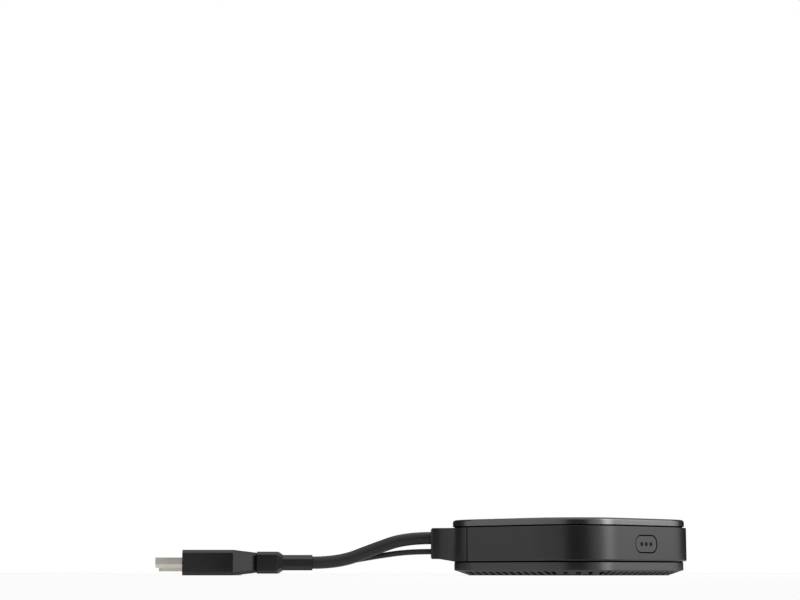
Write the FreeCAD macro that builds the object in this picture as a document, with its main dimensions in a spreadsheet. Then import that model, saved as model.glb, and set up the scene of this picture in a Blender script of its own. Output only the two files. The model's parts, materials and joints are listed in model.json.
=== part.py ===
import FreeCAD, Part
import math
import os

import Sketcher

# Wireless presentation dongle: a rounded square puck with a round press button on top,
# a small mode button in one side, and two short cords that leave by one corner.
# The cord corner points along -X, so the square is turned an eighth of a turn about Z.
# The origin is the middle of the foot, on the surface that the puck stands on.

# Driving sizes, in millimetres.
SIZES = {
    # Band, top cap and bottom cover.
    "band_side": 88.6,
    "corner_radius": 27.0,
    "band_wall": 3.0,
    "band_height": 14.4,
    "band_lower_round": 0.6,
    "band_upper_round": 0.2,
    "seam_gap": 0.6,
    "lip_width": 1.2,
    "lip_inset": 1.6,
    "cap_inset": 0.85,
    "cap_height": 2.85,
    "cap_plate": 2.0,
    "cap_edge_round": 1.1,
    "cover_inset": 1.45,
    "cover_skirt": 3.2,
    "cover_floor": 2.0,
    "bevel_height": 1.95,
    "bevel_reach": 5.8,
    "foot_height": 0.3,
    "foot_margin": 0.4,
    # Vent slots in the bevel of the bottom cover.
    "slot_width": 1.9,
    "slot_pitch": 3.9,
    "slot_start": 2.1,
    "slot_overrun": 0.3,
    # Cable end cap, its neck and the grommet in it.
    "end_cap_half_width": 17.7,
    "end_cap_seam": 0.4,
    "neck_length": 8.7,
    "neck_half_width": 5.5,
    "neck_flare": 10.0,
    "neck_bottom": 7.1,
    "neck_top": 20.6,
    "neck_blend": 6.5,
    "neck_straight": 3.7,
    "neck_bevel": 0.5,
    "neck_wall": 1.3,
    "neck_bore_round": 1.6,
    "grommet_length": 8.0,
    "grommet_recess": 0.5,
    "fit_gap": 0.1,
    # Cords and what holds them inside.
    "video_cord_radius": 2.7,
    "video_cord_height": 16.2,
    "power_cord_radius": 1.2,
    "power_cord_height": 10.3,
    "clamp_setback": 5.44,
    "clamp_length": 2.6,
    "clamp_half_width": 7.0,
    "clamp_seat": 8.2,
    "clamp_wall": 1.4,
    "jacket_out": 0.3,
    "video_wire_radius": 0.9,
    "power_wire_radius": 0.54,
    "wire_straight": 2.3,
    # Round press button and the light ring round it.
    "button_radius": 26.3,
    "button_plate": 1.8,
    "button_skirt": 1.4,
    "button_flange": 1.7,
    "button_flange_height": 1.0,
    "button_dish": 0.6,
    "button_rim": 1.6,
    "button_slope": 5.0,
    "button_drop": 0.1,
    "peg_radius": 2.5,
    "peg_lift": 0.1,
    "button_travel": 0.5,
    "ring_width": 2.2,
    "ring_flange": 1.8,
    "ring_flange_height": 1.2,
    "running_gap": 0.3,
    # Mode button in the side.
    "mode_length": 14.3,
    "mode_height": 7.2,
    "mode_centre": 13.1,
    "mode_shift": -1.6,
    "mode_gap": 0.25,
    "mode_flange": 1.2,
    "mode_flange_depth": 1.0,
    "mode_travel": 0.4,
    "mode_corner": 3.4,
    "mode_edge_round": 0.4,
    # Tact switches, the same size in both places.
    "switch_side": 6.0,
    "switch_height": 3.5,
    "stem_radius": 1.75,
    "stem_depth": 1.2,
    "press_stem_out": 0.8,
    "mode_stem_out": 1.4,
    # Boards and their parts.
    "main_board_half": 29.0,
    "main_board_corner": 14.0,
    "board_thickness": 1.6,
    "standoff_height": 3.4,
    "standoff_radius": 2.5,
    "board_screw_place": 22.0,
    "top_board_half": 28.5,
    "top_board_corner": 12.0,
    "top_board_thickness": 1.0,
    "top_board_screw_place": 23.5,
    "top_board_post_radius": 2.2,
    "led_ring_radius": 29.0,
    "led_side": 1.6,
    "led_height": 0.8,
    "processor_side": 14.0,
    "processor_height": 1.5,
    "processor_shift": 4.0,
    "thermal_pad_height": 0.6,
    "thermal_pad_margin": 0.5,
    "spreader_side": 34.0,
    "spreader_height": 1.4,
    "fin_height": 2.2,
    "fin_thickness": 1.2,
    "chip_long": 13.0,
    "chip_wide": 9.0,
    "chip_height": 1.0,
    "chip_shift": 8.0,
    "module_place": 20.0,
    "module_width": 13.0,
    "module_length": 22.0,
    "module_board": 0.8,
    "shield_height": 1.6,
    "shield_side_margin": 1.0,
    "shield_end_margin": 2.0,
    "power_part_row": 20.0,
    "inductor_side": 5.0,
    "inductor_height": 2.4,
    "inductor_pitch": 8.0,
    "inductor_shift": 4.0,
    "capacitor_radius": 2.0,
    "capacitor_height": 4.0,
    "capacitor_pitch": 5.5,
    "capacitor_shift": 13.25,
    "socket_long": 12.0,
    "socket_wide": 3.6,
    "socket_height": 1.5,
    "ribbon_width": 10.0,
    "ribbon_thickness": 0.3,
    "ribbon_shift": 2.0,
    "ribbon_row": 26.0,
    "header_setback": 4.71,
    "header_depth": 4.0,
    "header_height": 3.2,
    "video_header_y": -9.6,
    "video_header_width": 7.4,
    "power_header_y": 2.4,
    "power_header_width": 4.4,
    "aerial_length": 28.0,
    "aerial_thickness": 0.8,
    "aerial_height": 8.0,
    "aerial_bottom": 9.0,
    "mode_board_width": 18.0,
    "mode_board_thickness": 1.2,
    "mode_board_height": 16.0,
    # Screws and the posts that they go through.
    "post_radius": 3.0,
    "post_place": 32.5,
    "post_spread": 15.0,
    "post_top": 7.0,
    "housing_screw_radius": 1.0,
    "housing_head_radius": 2.1,
    "housing_head_height": 1.5,
    "housing_screw_length": 9.0,
    "board_screw_radius": 0.8,
    "board_head_radius": 1.8,
    "board_head_height": 1.2,
    "board_screw_length": 3.6,
    "thread_gap": 0.05,
    # Video plug, lying flat.
    "video_cord_run": 52.5,
    "video_sleeve_radius": 3.35,
    "video_sleeve_length": 12.8,
    "video_sleeve_bevel": 1.84,
    "video_collar_taper": 2.2,
    "video_collar_length": 8.8,
    "video_collar_height": 9.5,
    "video_collar_width": 13.5,
    "video_neck_width": 9.0,
    "video_neck_length": 0.3,
    "video_taper_length": 9.8,
    "video_taper_height": 8.6,
    "video_taper_width": 9.6,
    "video_body_length": 22.0,
    "video_body_height": 11.0,
    "video_body_width": 20.0,
    "video_bevel": 1.3,
    "video_shell_width": 13.9,
    "video_shell_height": 4.45,
    "video_shell_length": 12.0,
    "video_shell_corner": 1.5,
    "video_shell_wall": 0.35,
    "video_insert_root": 1.8,
    "video_rail": 0.9,
    "video_rail_back": 1.0,
    # Power plug, lying flat behind the other.
    "power_offset": 22.0,
    "power_cord_run": 75.8,
    "power_relief_length": 10.0,
    "power_relief_width": 4.6,
    "power_relief_height": 4.2,
    "power_relief_tip": 3.4,
    "power_tip_bevel": 0.95,
    "power_body_length": 24.0,
    "power_body_height": 8.0,
    "power_body_width": 16.0,
    "power_bevel": 1.2,
    "power_shell_width": 12.0,
    "power_shell_height": 4.5,
    "power_shell_length": 11.8,
    "power_shell_wall": 0.3,
    "power_window": 2.4,
    "power_window_place": 2.4,
    "power_tongue_height": 1.8,
}

SLOTS_PER_SIDE = 12
SLOTS_PER_CORNER = 5
CORNER_SLOT_STEP = 13.3  # degrees between two slots of a corner
CORNER_DIRECTION = 225.0  # degrees from the square's first axis to the corner that has the pattern
LEDS = 8
FINS = 7
INDUCTORS = 3
CAPACITORS = 2
CUT_MARGIN = 2.0  # how far a cutting outline runs past what it cuts
EIGHTH = 45.0  # degrees that the square is turned from the axes
HALF_ROOT = math.sqrt(0.5)
Z = FreeCAD.Vector(0, 0, 1)

doc = FreeCAD.newDocument("PresentationDongle")
sheet = doc.addObject("Spreadsheet::Sheet", "Sizes")
for row, (alias, number) in enumerate(SIZES.items(), start=1):
    sheet.set(f"A{row}", alias)
    sheet.set(f"B{row}", str(number))
    sheet.setAlias(f"B{row}", alias)
doc.recompute()


class Length:
    """A number together with the sheet formula that gives it."""

    def __init__(self, text, number):
        self.text = text
        self.number = number

    @staticmethod
    def of(value):
        return value if isinstance(value, Length) else Length(repr(float(value)), float(value))

    def __float__(self):
        return self.number

    def joined(self, sign, other, number):
        return Length(f"({self.text} {sign} {Length.of(other).text})", number)

    def __add__(self, other):
        return self.joined("+", other, self.number + float(other))

    def __radd__(self, other):
        return Length.of(other) + self

    def __sub__(self, other):
        return self.joined("-", other, self.number - float(other))

    def __rsub__(self, other):
        return Length.of(other) - self

    def __mul__(self, other):
        return self.joined("*", other, self.number * float(other))

    def __rmul__(self, other):
        return Length.of(other) * self

    def __truediv__(self, other):
        return self.joined("/", other, self.number / float(other))

    def __neg__(self):
        return Length.of(0) - self

    def root(self):
        return Length(f"sqrt({self.text})", math.sqrt(self.number))


class Sheet:
    """Each size of the sheet under its own name."""

    def __init__(self, names):
        for name in names:
            setattr(self, name, Length(f"Sizes.{name}", float(getattr(sheet, name))))


s = Sheet(SIZES)
sub_parts = []

# Heights above the floor, from the foot up.
cover_bottom = s.foot_height
cover_floor_top = cover_bottom + s.cover_floor
bevel_top = cover_bottom + s.bevel_height
cover_top = bevel_top + s.cover_skirt
band_bottom = cover_top + s.seam_gap
band_top = band_bottom + s.band_height
cap_bottom = band_top + s.seam_gap
cap_top = cap_bottom + s.cap_height
plate_under = cap_top - s.cap_plate

# Half sides and corner radii of the square's shells.
band_half = s.band_side / 2
band_inner = band_half - s.band_wall
cover_half = band_half - s.cover_inset
cap_half = band_half - s.cap_inset
lip_half = band_half - s.lip_inset
lip_inner = lip_half - s.lip_width
corner_place = band_half - s.corner_radius
corner_reach = corner_place * (2 * HALF_ROOT)

# Distances from the middle along -X: the neck, the grommet, the clamp, the headers and the cords.
neck_reach = corner_reach + s.corner_radius + s.neck_length
grommet_face = neck_reach - s.grommet_recess
clamp_end = corner_reach + band_inner - corner_place - s.clamp_setback
clamp_start = clamp_end - s.clamp_length
jacket_end = clamp_start - s.jacket_out
main_board_reach = (s.main_board_half - s.main_board_corner) * (2 * HALF_ROOT) + s.main_board_corner
header_reach = main_board_reach - s.header_setback
video_cord_end = grommet_face + s.video_cord_run
power_cord_end = grommet_face + s.power_cord_run

# Boards.
board_bottom = cover_floor_top + s.standoff_height
board_top = board_bottom + s.board_thickness
ring_inner = s.button_radius + s.running_gap
ring_outer = ring_inner + s.ring_width
ring_bottom = plate_under - s.ring_flange_height
flange_top = ring_bottom - s.running_gap
flange_bottom = flange_top - s.button_flange_height
peg_bottom = flange_top + s.peg_lift
stem_top = peg_bottom
switch_top = stem_top - s.press_stem_out
top_board_top = switch_top - s.switch_height
top_board_bottom = top_board_top - s.top_board_thickness

# Places of the screws in the square's own axes, as signs.
FOUR_WAYS = ((1, 1), (1, -1), (-1, -1), (-1, 1))


def bind(thing, name, value):
    """Gives a property its value, and its formula where it has one."""
    if isinstance(value, Length):
        thing.setExpression(name, value.text)
    elif "." not in name:
        setattr(thing, name, value)


def add_sub_part(thing, label):
    """Takes a finished object into the list that is written out."""
    thing.Label = label
    sub_parts.append(thing)
    return thing


def new_body(label):
    body = doc.addObject("PartDesign::Body", label)
    return add_sub_part(body, label)


def origin_feature(body, role):
    return next(f for f in body.Origin.OriginFeatures if f.Role == role)


def sketch_on(body, name, role="XY_Plane", base=(0, 0, 0), rotation=None):
    """A sketch on one of the body's origin planes, moved by base and then turned."""
    drawing = body.newObject("Sketcher::SketchObject", name)
    drawing.AttachmentSupport = (origin_feature(body, role), [""])
    drawing.MapMode = "FlatFace"
    place = FreeCAD.Vector(*[float(value) for value in base])
    drawing.AttachmentOffset = FreeCAD.Placement(place, rotation or FreeCAD.Rotation())
    for axis, value in zip("xyz", base):
        bind(drawing, f"AttachmentOffset.Base.{axis}", value)
    return drawing


def level_sketch(body, name, height, turned=True):
    """A level sketch at a height, in the axes of the turned square or of the cords."""
    angle = EIGHTH if turned else 0
    return sketch_on(body, name, base=(0, 0, height), rotation=FreeCAD.Rotation(Z, angle))


def side_sketch(body, name, distance):
    """An upright sketch square to the mode button's axis, at a distance from the middle."""
    turn = FreeCAD.Rotation(FreeCAD.Vector(0, 1, 0), EIGHTH)
    shift = distance * HALF_ROOT
    return sketch_on(body, name, "XZ_Plane", base=(shift, 0, shift), rotation=turn)


def cross_sketch(body, name, x):
    """An upright sketch square to the cords, at a place along X."""
    return sketch_on(body, name, "YZ_Plane", base=(0, 0, x))


def constrain(drawing, value, *terms):
    """Adds a constraint with a size, tied to the sheet where the size is."""
    index = drawing.addConstraint(Sketcher.Constraint(*terms, float(value)))
    bind(drawing, f"Constraints[{index}]", value)


def pin(drawing, geometry, vertex, x=None, y=None):
    """Holds a vertex at a distance from the sketch's origin, in x, in y or in both."""
    for kind, axis, value in (("DistanceX", -2, x), ("DistanceY", -1, y)):
        if value is None:
            continue
        if float(value) == 0:
            on_axis = Sketcher.Constraint("PointOnObject", geometry, vertex, axis)
            drawing.addConstraint(on_axis)
        else:
            constrain(drawing, value, kind, -1, 1, geometry, vertex)


def vector(x, y):
    return FreeCAD.Vector(float(x), float(y), 0)


def polygon(drawing, points):
    """A closed outline of straight lines through points that are all pinned."""
    first = drawing.GeometryCount
    for start, end in zip(points, points[1:] + points[:1]):
        drawing.addGeometry(Part.LineSegment(vector(*start), vector(*end)))
    for index, (x, y) in enumerate(points):
        before = first + (index - 1) % len(points)
        joint = Sketcher.Constraint("Coincident", before, 2, first + index, 1)
        drawing.addConstraint(joint)
        pin(drawing, first + index, 1, x, y)


def rectangle(drawing, x0, x1, y0, y1):
    polygon(drawing, [(x0, y0), (x1, y0), (x1, y1), (x0, y1)])


def circle(drawing, x, y, radius):
    ring = Part.Circle(vector(x, y), Z, float(radius))
    index = drawing.addGeometry(ring)
    pin(drawing, index, 3, x, y)
    constrain(drawing, radius, "Radius", index)


def rounded_rectangle(drawing, x0, x1, y0, y1, radius):
    """Four lines and four tangent arcs of one radius."""
    left, right, low, high, r = (float(v) for v in (x0, x1, y0, y1, radius))
    first = drawing.GeometryCount
    corners = (
        (right - r, low + r, (left + r, low), (right - r, low), -90),
        (right - r, high - r, (right, low + r), (right, high - r), 0),
        (left + r, high - r, (right - r, high), (left + r, high), 90),
        (left + r, low + r, (left, high - r), (left, low + r), 180),
    )
    for x, y, start, end, angle in corners:
        drawing.addGeometry(Part.LineSegment(vector(*start), vector(*end)))
        round_one = Part.Circle(vector(x, y), Z, r)
        begin = math.radians(angle)
        drawing.addGeometry(Part.ArcOfCircle(round_one, begin, begin + math.pi / 2))
    for index in range(8):
        following = first + (index + 1) % 8
        drawing.addConstraint(Sketcher.Constraint("Tangent", first + index, 2, following, 1))
    for index, kind in ((0, "Horizontal"), (2, "Vertical"), (4, "Horizontal"), (6, "Vertical")):
        drawing.addConstraint(Sketcher.Constraint(kind, first + index))
    for index in (3, 5, 7):
        drawing.addConstraint(Sketcher.Constraint("Equal", first + 1, first + index))
    constrain(drawing, radius, "Radius", first + 1)
    pin(drawing, first, 1, y=y0)
    pin(drawing, first + 2, 1, x=x1)
    pin(drawing, first + 4, 1, y=y1)
    pin(drawing, first + 6, 1, x=x0)


def rounded_square(drawing, half, radius):
    rounded_rectangle(drawing, -half, half, -half, half, radius)


def shell_radius(half):
    """Corner radius of a shell of the square, which keeps the band's corner centres."""
    return half - corner_place


def pad(body, name, drawing, length, reverse=False):
    feature = body.newObject("PartDesign::Pad", name)
    feature.Profile = drawing
    bind(feature, "Length", length)
    feature.Reversed = reverse
    drawing.Visibility = False
    doc.recompute()
    return feature


def pocket(body, name, drawing, length, reverse=False):
    """A cut that has to take something away. It runs against the sketch's normal unless reversed."""
    before = body.Shape.Volume
    feature = body.newObject("PartDesign::Pocket", name)
    feature.Profile = drawing
    bind(feature, "Length", length)
    feature.Reversed = reverse
    doc.recompute()
    if body.Shape.Volume > before - 1e-6:
        raise RuntimeError(f"{name} in {body.Label} cuts nothing")
    return feature


def edge_names(shape, wanted):
    """Names of the edges whose every end and middle pass a test."""
    found = []
    for index, edge in enumerate(shape.Edges, start=1):
        middle = edge.valueAt((edge.FirstParameter + edge.LastParameter) / 2)
        if all(wanted(point) for point in [middle] + [v.Point for v in edge.Vertexes]):
            found.append(f"Edge{index}")
    return found


def dress(body, kind, name, edges, **sizes):
    """A fillet or chamfer along named edges of the body's last feature."""
    if not edges:
        raise RuntimeError(f"{name} in {body.Label} finds no edge")
    base = body.Tip
    feature = body.newObject(f"PartDesign::{kind}", name)
    feature.Base = (base, edges)
    for key, value in sizes.items():
        bind(feature, key, value)
    doc.recompute()
    return feature


def turned_place(thing, u, v, z):
    """Puts a thing at a place in the square's axes, turned with the square."""
    x = (u - v) * HALF_ROOT
    y = (u + v) * HALF_ROOT
    rotation = FreeCAD.Rotation(Z, EIGHTH)
    thing.Placement = FreeCAD.Placement(FreeCAD.Vector(float(x), float(y), float(z)), rotation)
    for axis, value in zip("xyz", (x, y, z)):
        bind(thing, f"Placement.Base.{axis}", value)


def box(name, sizes, place, turned=True):
    """A box by its three sizes and the place of its lowest corner."""
    thing = doc.addObject("Part::Box", name)
    for key, value in zip(("Length", "Width", "Height"), sizes):
        bind(thing, key, value)
    if turned:
        turned_place(thing, *place)
    else:
        corner = FreeCAD.Vector(*[float(value) for value in place])
        thing.Placement = FreeCAD.Placement(corner, FreeCAD.Rotation())
        for axis, value in zip("xyz", place):
            bind(thing, f"Placement.Base.{axis}", value)
    return thing


def cylinder(name, radius, height, place):
    """An upright cylinder standing at a place in the square's axes."""
    thing = doc.addObject("Part::Cylinder", name)
    bind(thing, "Radius", radius)
    bind(thing, "Height", height)
    turned_place(thing, *place)
    return thing


def combined(name, kind, *things):
    """A fusion, cut or compound of things."""
    thing = doc.addObject(f"Part::{kind}", name)
    if kind == "Cut":
        thing.Base, thing.Tool = things
    elif kind == "MultiFuse":
        thing.Shapes = list(things)
    else:
        thing.Links = list(things)
    return thing


def centred(length):
    return length / -2


# Bottom cover: a shallow tray with a wide bevel, vent slots, standoffs and screw posts.
def make_bottom_cover():
    body = new_body("bottom_cover")
    outline = level_sketch(body, "cover_outline", cover_bottom)
    rounded_square(outline, cover_half, shell_radius(cover_half))
    pad(body, "cover_block", outline, s.bevel_height + s.cover_skirt)

    floor_height = float(cover_bottom)
    lower = edge_names(body.Shape, lambda p: abs(p.z - floor_height) < 1e-6)
    bevel = dress(body, "Chamfer", "cover_bevel", lower, ChamferType="Two distances",
                  Size=s.bevel_reach, Size2=s.bevel_height)
    reach = max(abs(v.X + v.Y) * HALF_ROOT for v in body.Shape.Vertexes if v.Z < floor_height + 0.01)
    if abs(reach - float(cover_half - s.bevel_reach)) > 0.01:
        bevel.FlipDirection = True
        doc.recompute()

    lip = level_sketch(body, "cover_lip_outline", cover_top)
    rounded_square(lip, lip_half, shell_radius(lip_half))
    pad(body, "cover_lip", lip, s.seam_gap)
    inside = level_sketch(body, "cover_inside", band_bottom)
    rounded_square(inside, lip_inner, shell_radius(lip_inner))
    pocket(body, "cover_hollow", inside, band_bottom - cover_floor_top)

    posts = level_sketch(body, "post_places", cover_floor_top)
    standoffs = level_sketch(body, "standoff_places", cover_floor_top)
    for u, v in FOUR_WAYS:
        circle(posts, s.post_place * u, s.post_spread * v, s.post_radius)
        circle(standoffs, s.board_screw_place * u, s.board_screw_place * v, s.standoff_radius)
    pad(body, "screw_posts", posts, s.post_top - cover_floor_top)
    pad(body, "board_standoffs", standoffs, s.standoff_height)

    pedestal = level_sketch(body, "clamp_pedestal_outline", cover_floor_top, turned=False)
    rectangle(pedestal, -clamp_end, -clamp_start,
              -s.clamp_half_width, s.clamp_half_width)
    pad(body, "clamp_pedestal", pedestal, s.clamp_seat - cover_floor_top)

    shanks = level_sketch(body, "shank_holes", s.post_top)
    heads = level_sketch(body, "head_recesses", cover_bottom)
    pilots = level_sketch(body, "pilot_holes", board_bottom)
    for u, v in FOUR_WAYS:
        place = (s.post_place * u, s.post_spread * v)
        circle(shanks, *place, s.housing_screw_radius + s.fit_gap)
        circle(heads, *place, s.housing_head_radius + s.running_gap)
        pilot = s.board_screw_radius + s.thread_gap
        circle(pilots, s.board_screw_place * u, s.board_screw_place * v, pilot)
    pocket(body, "shank_bores", shanks, s.post_top - cover_bottom)
    pocket(body, "head_bores", heads, s.housing_head_height + s.fit_gap, reverse=True)
    pocket(body, "pilot_bores", pilots, s.board_screw_length - s.board_thickness + s.fit_gap)

    slots = level_sketch(body, "slot_outlines", cover_bottom)
    slot_end = s.bevel_reach + s.slot_overrun
    for number in range(SLOTS_PER_SIDE):
        v = s.slot_pitch * (number - (SLOTS_PER_SIDE - 1) / 2)
        rectangle(slots, s.slot_start - cover_half, slot_end - cover_half,
                  v - s.slot_width / 2, v + s.slot_width / 2)
    outer = shell_radius(cover_half) - s.slot_start
    inner = shell_radius(cover_half) - slot_end
    for number in range(SLOTS_PER_CORNER):
        angle = math.radians(CORNER_DIRECTION + CORNER_SLOT_STEP * (number - (SLOTS_PER_CORNER - 1) / 2))
        along = (math.cos(angle), math.sin(angle))
        across = (-along[1], along[0])
        corners = ((outer, -0.5), (outer, 0.5), (inner, 0.5), (inner, -0.5))
        polygon(slots, [(-corner_place + reach * along[0] + s.slot_width * (side * across[0]),
                         -corner_place + reach * along[1] + s.slot_width * (side * across[1]))
                        for reach, side in corners])
    quarter = pocket(body, "slots_of_a_quarter", slots, s.cover_floor + s.slot_overrun, reverse=True)
    ring = body.newObject("PartDesign::PolarPattern", "slots_all_round")
    ring.Originals = [quarter]
    ring.Axis = (origin_feature(body, "Z_Axis"), [""])
    ring.Angle = 360
    ring.Occurrences = 4
    body.Tip = ring
    doc.recompute()


def make_base_foot():
    body = new_body("base_foot")
    outline = level_sketch(body, "foot_outline", 0)
    half = cover_half - s.bevel_reach - s.foot_margin
    rounded_square(outline, half, shell_radius(half))
    pad(body, "foot_pad", outline, s.foot_height)


# Side band: the wall of the puck, open at the cord corner and round the mode button.
def make_side_band():
    body = new_body("side_band")
    outline = level_sketch(body, "band_outline", band_bottom)
    rounded_square(outline, band_half, s.corner_radius)
    pad(body, "band_block", outline, s.band_height)
    low, high = float(band_bottom), float(band_top)
    lower = edge_names(body.Shape, lambda p: abs(p.z - low) < 1e-6)
    dress(body, "Fillet", "band_lower_edge", lower, Radius=s.band_lower_round)
    upper = edge_names(body.Shape, lambda p: abs(p.z - high) < 1e-6)
    dress(body, "Fillet", "band_upper_edge", upper, Radius=s.band_upper_round)
    inside = level_sketch(body, "band_inside", band_top)
    rounded_square(inside, band_inner, shell_radius(band_inner))
    pocket(body, "band_hollow", inside, s.band_height)
    gap = level_sketch(body, "end_cap_gap", band_top, turned=False)
    seam_depth = (s.corner_radius * s.corner_radius - s.end_cap_half_width * s.end_cap_half_width).root()
    wide = (neck_reach - corner_reach) * s.end_cap_half_width / seam_depth
    polygon(gap, [(-corner_reach, 0), (-neck_reach, wide), (-neck_reach, -wide)])
    pocket(body, "end_cap_opening", gap, s.band_height)
    window = side_sketch(body, "mode_window", band_half)
    mode_outline(window, s.mode_gap)
    pocket(body, "mode_opening", window, s.band_wall)


def mode_outline(drawing, margin):
    """The mode button's outline, or its window or flange with a margin all round."""
    wide = s.mode_length / 2 + margin
    tall = s.mode_height / 2 + margin
    rounded_rectangle(drawing, s.mode_shift - wide, s.mode_shift + wide, s.mode_centre - tall,
                      s.mode_centre + tall, s.mode_corner + margin)


# Cable end cap: wraps the cord corner of the band and carries the flared neck. Its two ends are
# square to the wall.
def make_cable_end_cap():
    body = new_body("cable_end_cap")
    plan = level_sketch(body, "end_cap_plan", band_bottom, turned=False)
    centre = float(corner_reach)
    outer = float(s.corner_radius)
    inner = float(shell_radius(band_inner))
    outer_end = s.end_cap_half_width - s.end_cap_seam
    inner_end = outer_end * shell_radius(band_inner) / s.corner_radius
    side, flare, tip = float(s.neck_half_width), float(s.neck_flare), float(neck_reach)
    flare_x = -centre - math.sqrt((outer + flare) ** 2 - (side + flare) ** 2)
    flare_turn = math.asin((side + flare) / (outer + flare))
    end_turn = math.asin(float(outer_end) / outer)

    def arc(x, y, radius, begin, end):
        ring = Part.Circle(FreeCAD.Vector(x, y, 0), Z, radius)
        return plan.addGeometry(Part.ArcOfCircle(ring, begin, end))

    def line(x0, y0, x1, y1):
        return plan.addGeometry(Part.LineSegment(vector(x0, y0), vector(x1, y1)))

    # Anticlockwise from the corner's upper end to the neck, back below, and inside.
    upper = arc(-centre, 0, outer, math.pi - end_turn, math.pi - flare_turn)
    upper_flare = arc(flare_x, side + flare, flare, -math.pi / 2, -flare_turn)
    upper_side = line(flare_x, side, -tip, side)
    tip_line = line(-tip, side, -tip, -side)
    lower_side = line(-tip, -side, flare_x, -side)
    lower_flare = arc(flare_x, -side - flare, flare, flare_turn, math.pi / 2)
    lower = arc(-centre, 0, outer, math.pi + flare_turn, math.pi + end_turn)
    outer_x, inner_x = outer * math.cos(end_turn), inner * math.cos(end_turn)
    outer_y, inner_y = float(outer_end), float(inner_end)
    lower_end = line(-centre - outer_x, -outer_y, -centre - inner_x, -inner_y)
    inside = arc(-centre, 0, inner, math.pi - end_turn, math.pi + end_turn)
    upper_end = line(-centre - inner_x, inner_y, -centre - outer_x, outer_y)

    def link(kind, *terms):
        plan.addConstraint(Sketcher.Constraint(kind, *terms))

    link("Tangent", upper, 2, upper_flare, 2)
    link("Tangent", upper_flare, 1, upper_side, 1)
    link("Coincident", upper_side, 2, tip_line, 1)
    link("Coincident", tip_line, 2, lower_side, 1)
    link("Tangent", lower_side, 2, lower_flare, 2)
    link("Tangent", lower_flare, 1, lower, 1)
    link("Coincident", lower, 2, lower_end, 1)
    link("Coincident", lower_end, 2, inside, 2)
    link("Coincident", inside, 1, upper_end, 1)
    link("Coincident", upper_end, 2, upper, 1)
    link("Horizontal", upper_side)
    link("Horizontal", lower_side)
    link("Vertical", tip_line)
    link("Equal", upper, lower)
    link("Equal", upper_flare, lower_flare)
    pin(plan, upper, 3, -corner_reach, 0)
    link("Coincident", upper, 3, lower, 3)
    link("Coincident", upper, 3, inside, 3)
    constrain(plan, s.corner_radius, "Radius", upper)
    constrain(plan, shell_radius(band_inner), "Radius", inside)
    constrain(plan, s.neck_flare, "Radius", upper_flare)
    pin(plan, tip_line, 1, -neck_reach, s.neck_half_width)
    pin(plan, tip_line, 2, y=-s.neck_half_width)
    pin(plan, upper_end, 2, y=outer_end)
    pin(plan, upper_end, 1, y=inner_end)
    pin(plan, lower_end, 1, y=-outer_end)
    pin(plan, lower_end, 2, y=-inner_end)
    pad(body, "end_cap_block", plan, s.band_height)

    # The neck is lower than the band: its underside and its top each slope to the band's.
    profile = sketch_on(body, "neck_profile", "XZ_Plane", base=(0, 0, s.end_cap_half_width))
    start = -neck_reach + s.neck_blend + s.neck_straight
    end = -neck_reach + s.neck_straight
    far = -neck_reach - CUT_MARGIN
    for edge_height, neck_height, beyond in ((band_bottom, s.neck_bottom, -CUT_MARGIN),
                                             (band_top, s.neck_top, CUT_MARGIN)):
        polygon(profile, [(start, edge_height), (end, neck_height), (far, neck_height),
                          (far, edge_height + beyond), (start, edge_height + beyond)])
    pocket(body, "neck_slopes", profile, s.end_cap_half_width * 2)

    tip_edges = edge_names(body.Shape, lambda p: p.x < -tip + 1e-6)
    dress(body, "Chamfer", "neck_tip_bevel", tip_edges, Size=s.neck_bevel)

    bore = cross_sketch(body, "neck_bore_outline", -neck_reach)
    bore_half = s.neck_half_width - s.neck_wall
    rounded_rectangle(bore, -bore_half, bore_half, s.neck_bottom + s.neck_wall,
                      s.neck_top - s.neck_wall, s.neck_bore_round)
    pocket(body, "neck_bore", bore, neck_reach - corner_reach, reverse=True)


# Grommet: a rubber block in the neck's bore that both cords pass through.
def make_cord_grommet():
    body = new_body("cord_grommet")
    face = -grommet_face
    outline = cross_sketch(body, "grommet_outline", face)
    half = s.neck_half_width - s.neck_wall - s.fit_gap
    rounded_rectangle(outline, -half, half, s.neck_bottom + s.neck_wall + s.fit_gap,
                      s.neck_top - s.neck_wall - s.fit_gap, s.neck_bore_round - s.fit_gap)
    pad(body, "grommet_block", outline, s.grommet_length)
    holes = cross_sketch(body, "grommet_hole_outlines", face)
    circle(holes, 0, s.video_cord_height, s.video_cord_radius + s.thread_gap)
    circle(holes, 0, s.power_cord_height, s.power_cord_radius + s.thread_gap)
    pocket(body, "grommet_holes", holes, s.grommet_length, reverse=True)


# Clamp: a saddle on the pedestal, bored for the two cords.
def make_cord_clamp():
    body = new_body("cord_clamp")
    start = -clamp_end
    outline = cross_sketch(body, "clamp_outline", start)
    top = s.video_cord_height + s.video_cord_radius + s.clamp_wall
    reach = s.video_cord_radius + s.clamp_wall
    half = s.clamp_half_width
    foot = s.clamp_seat + s.clamp_wall
    polygon(outline, [(-half, s.clamp_seat), (half, s.clamp_seat), (half, foot), (reach, foot),
                      (reach, top), (-reach, top), (-reach, foot), (-half, foot)])
    pad(body, "clamp_block", outline, s.clamp_length)
    holes = cross_sketch(body, "clamp_hole_outlines", start)
    circle(holes, 0, s.video_cord_height, s.video_cord_radius + s.thread_gap)
    circle(holes, 0, s.power_cord_height, s.power_cord_radius + s.thread_gap)
    pocket(body, "clamp_holes", holes, s.clamp_length, reverse=True)


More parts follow.
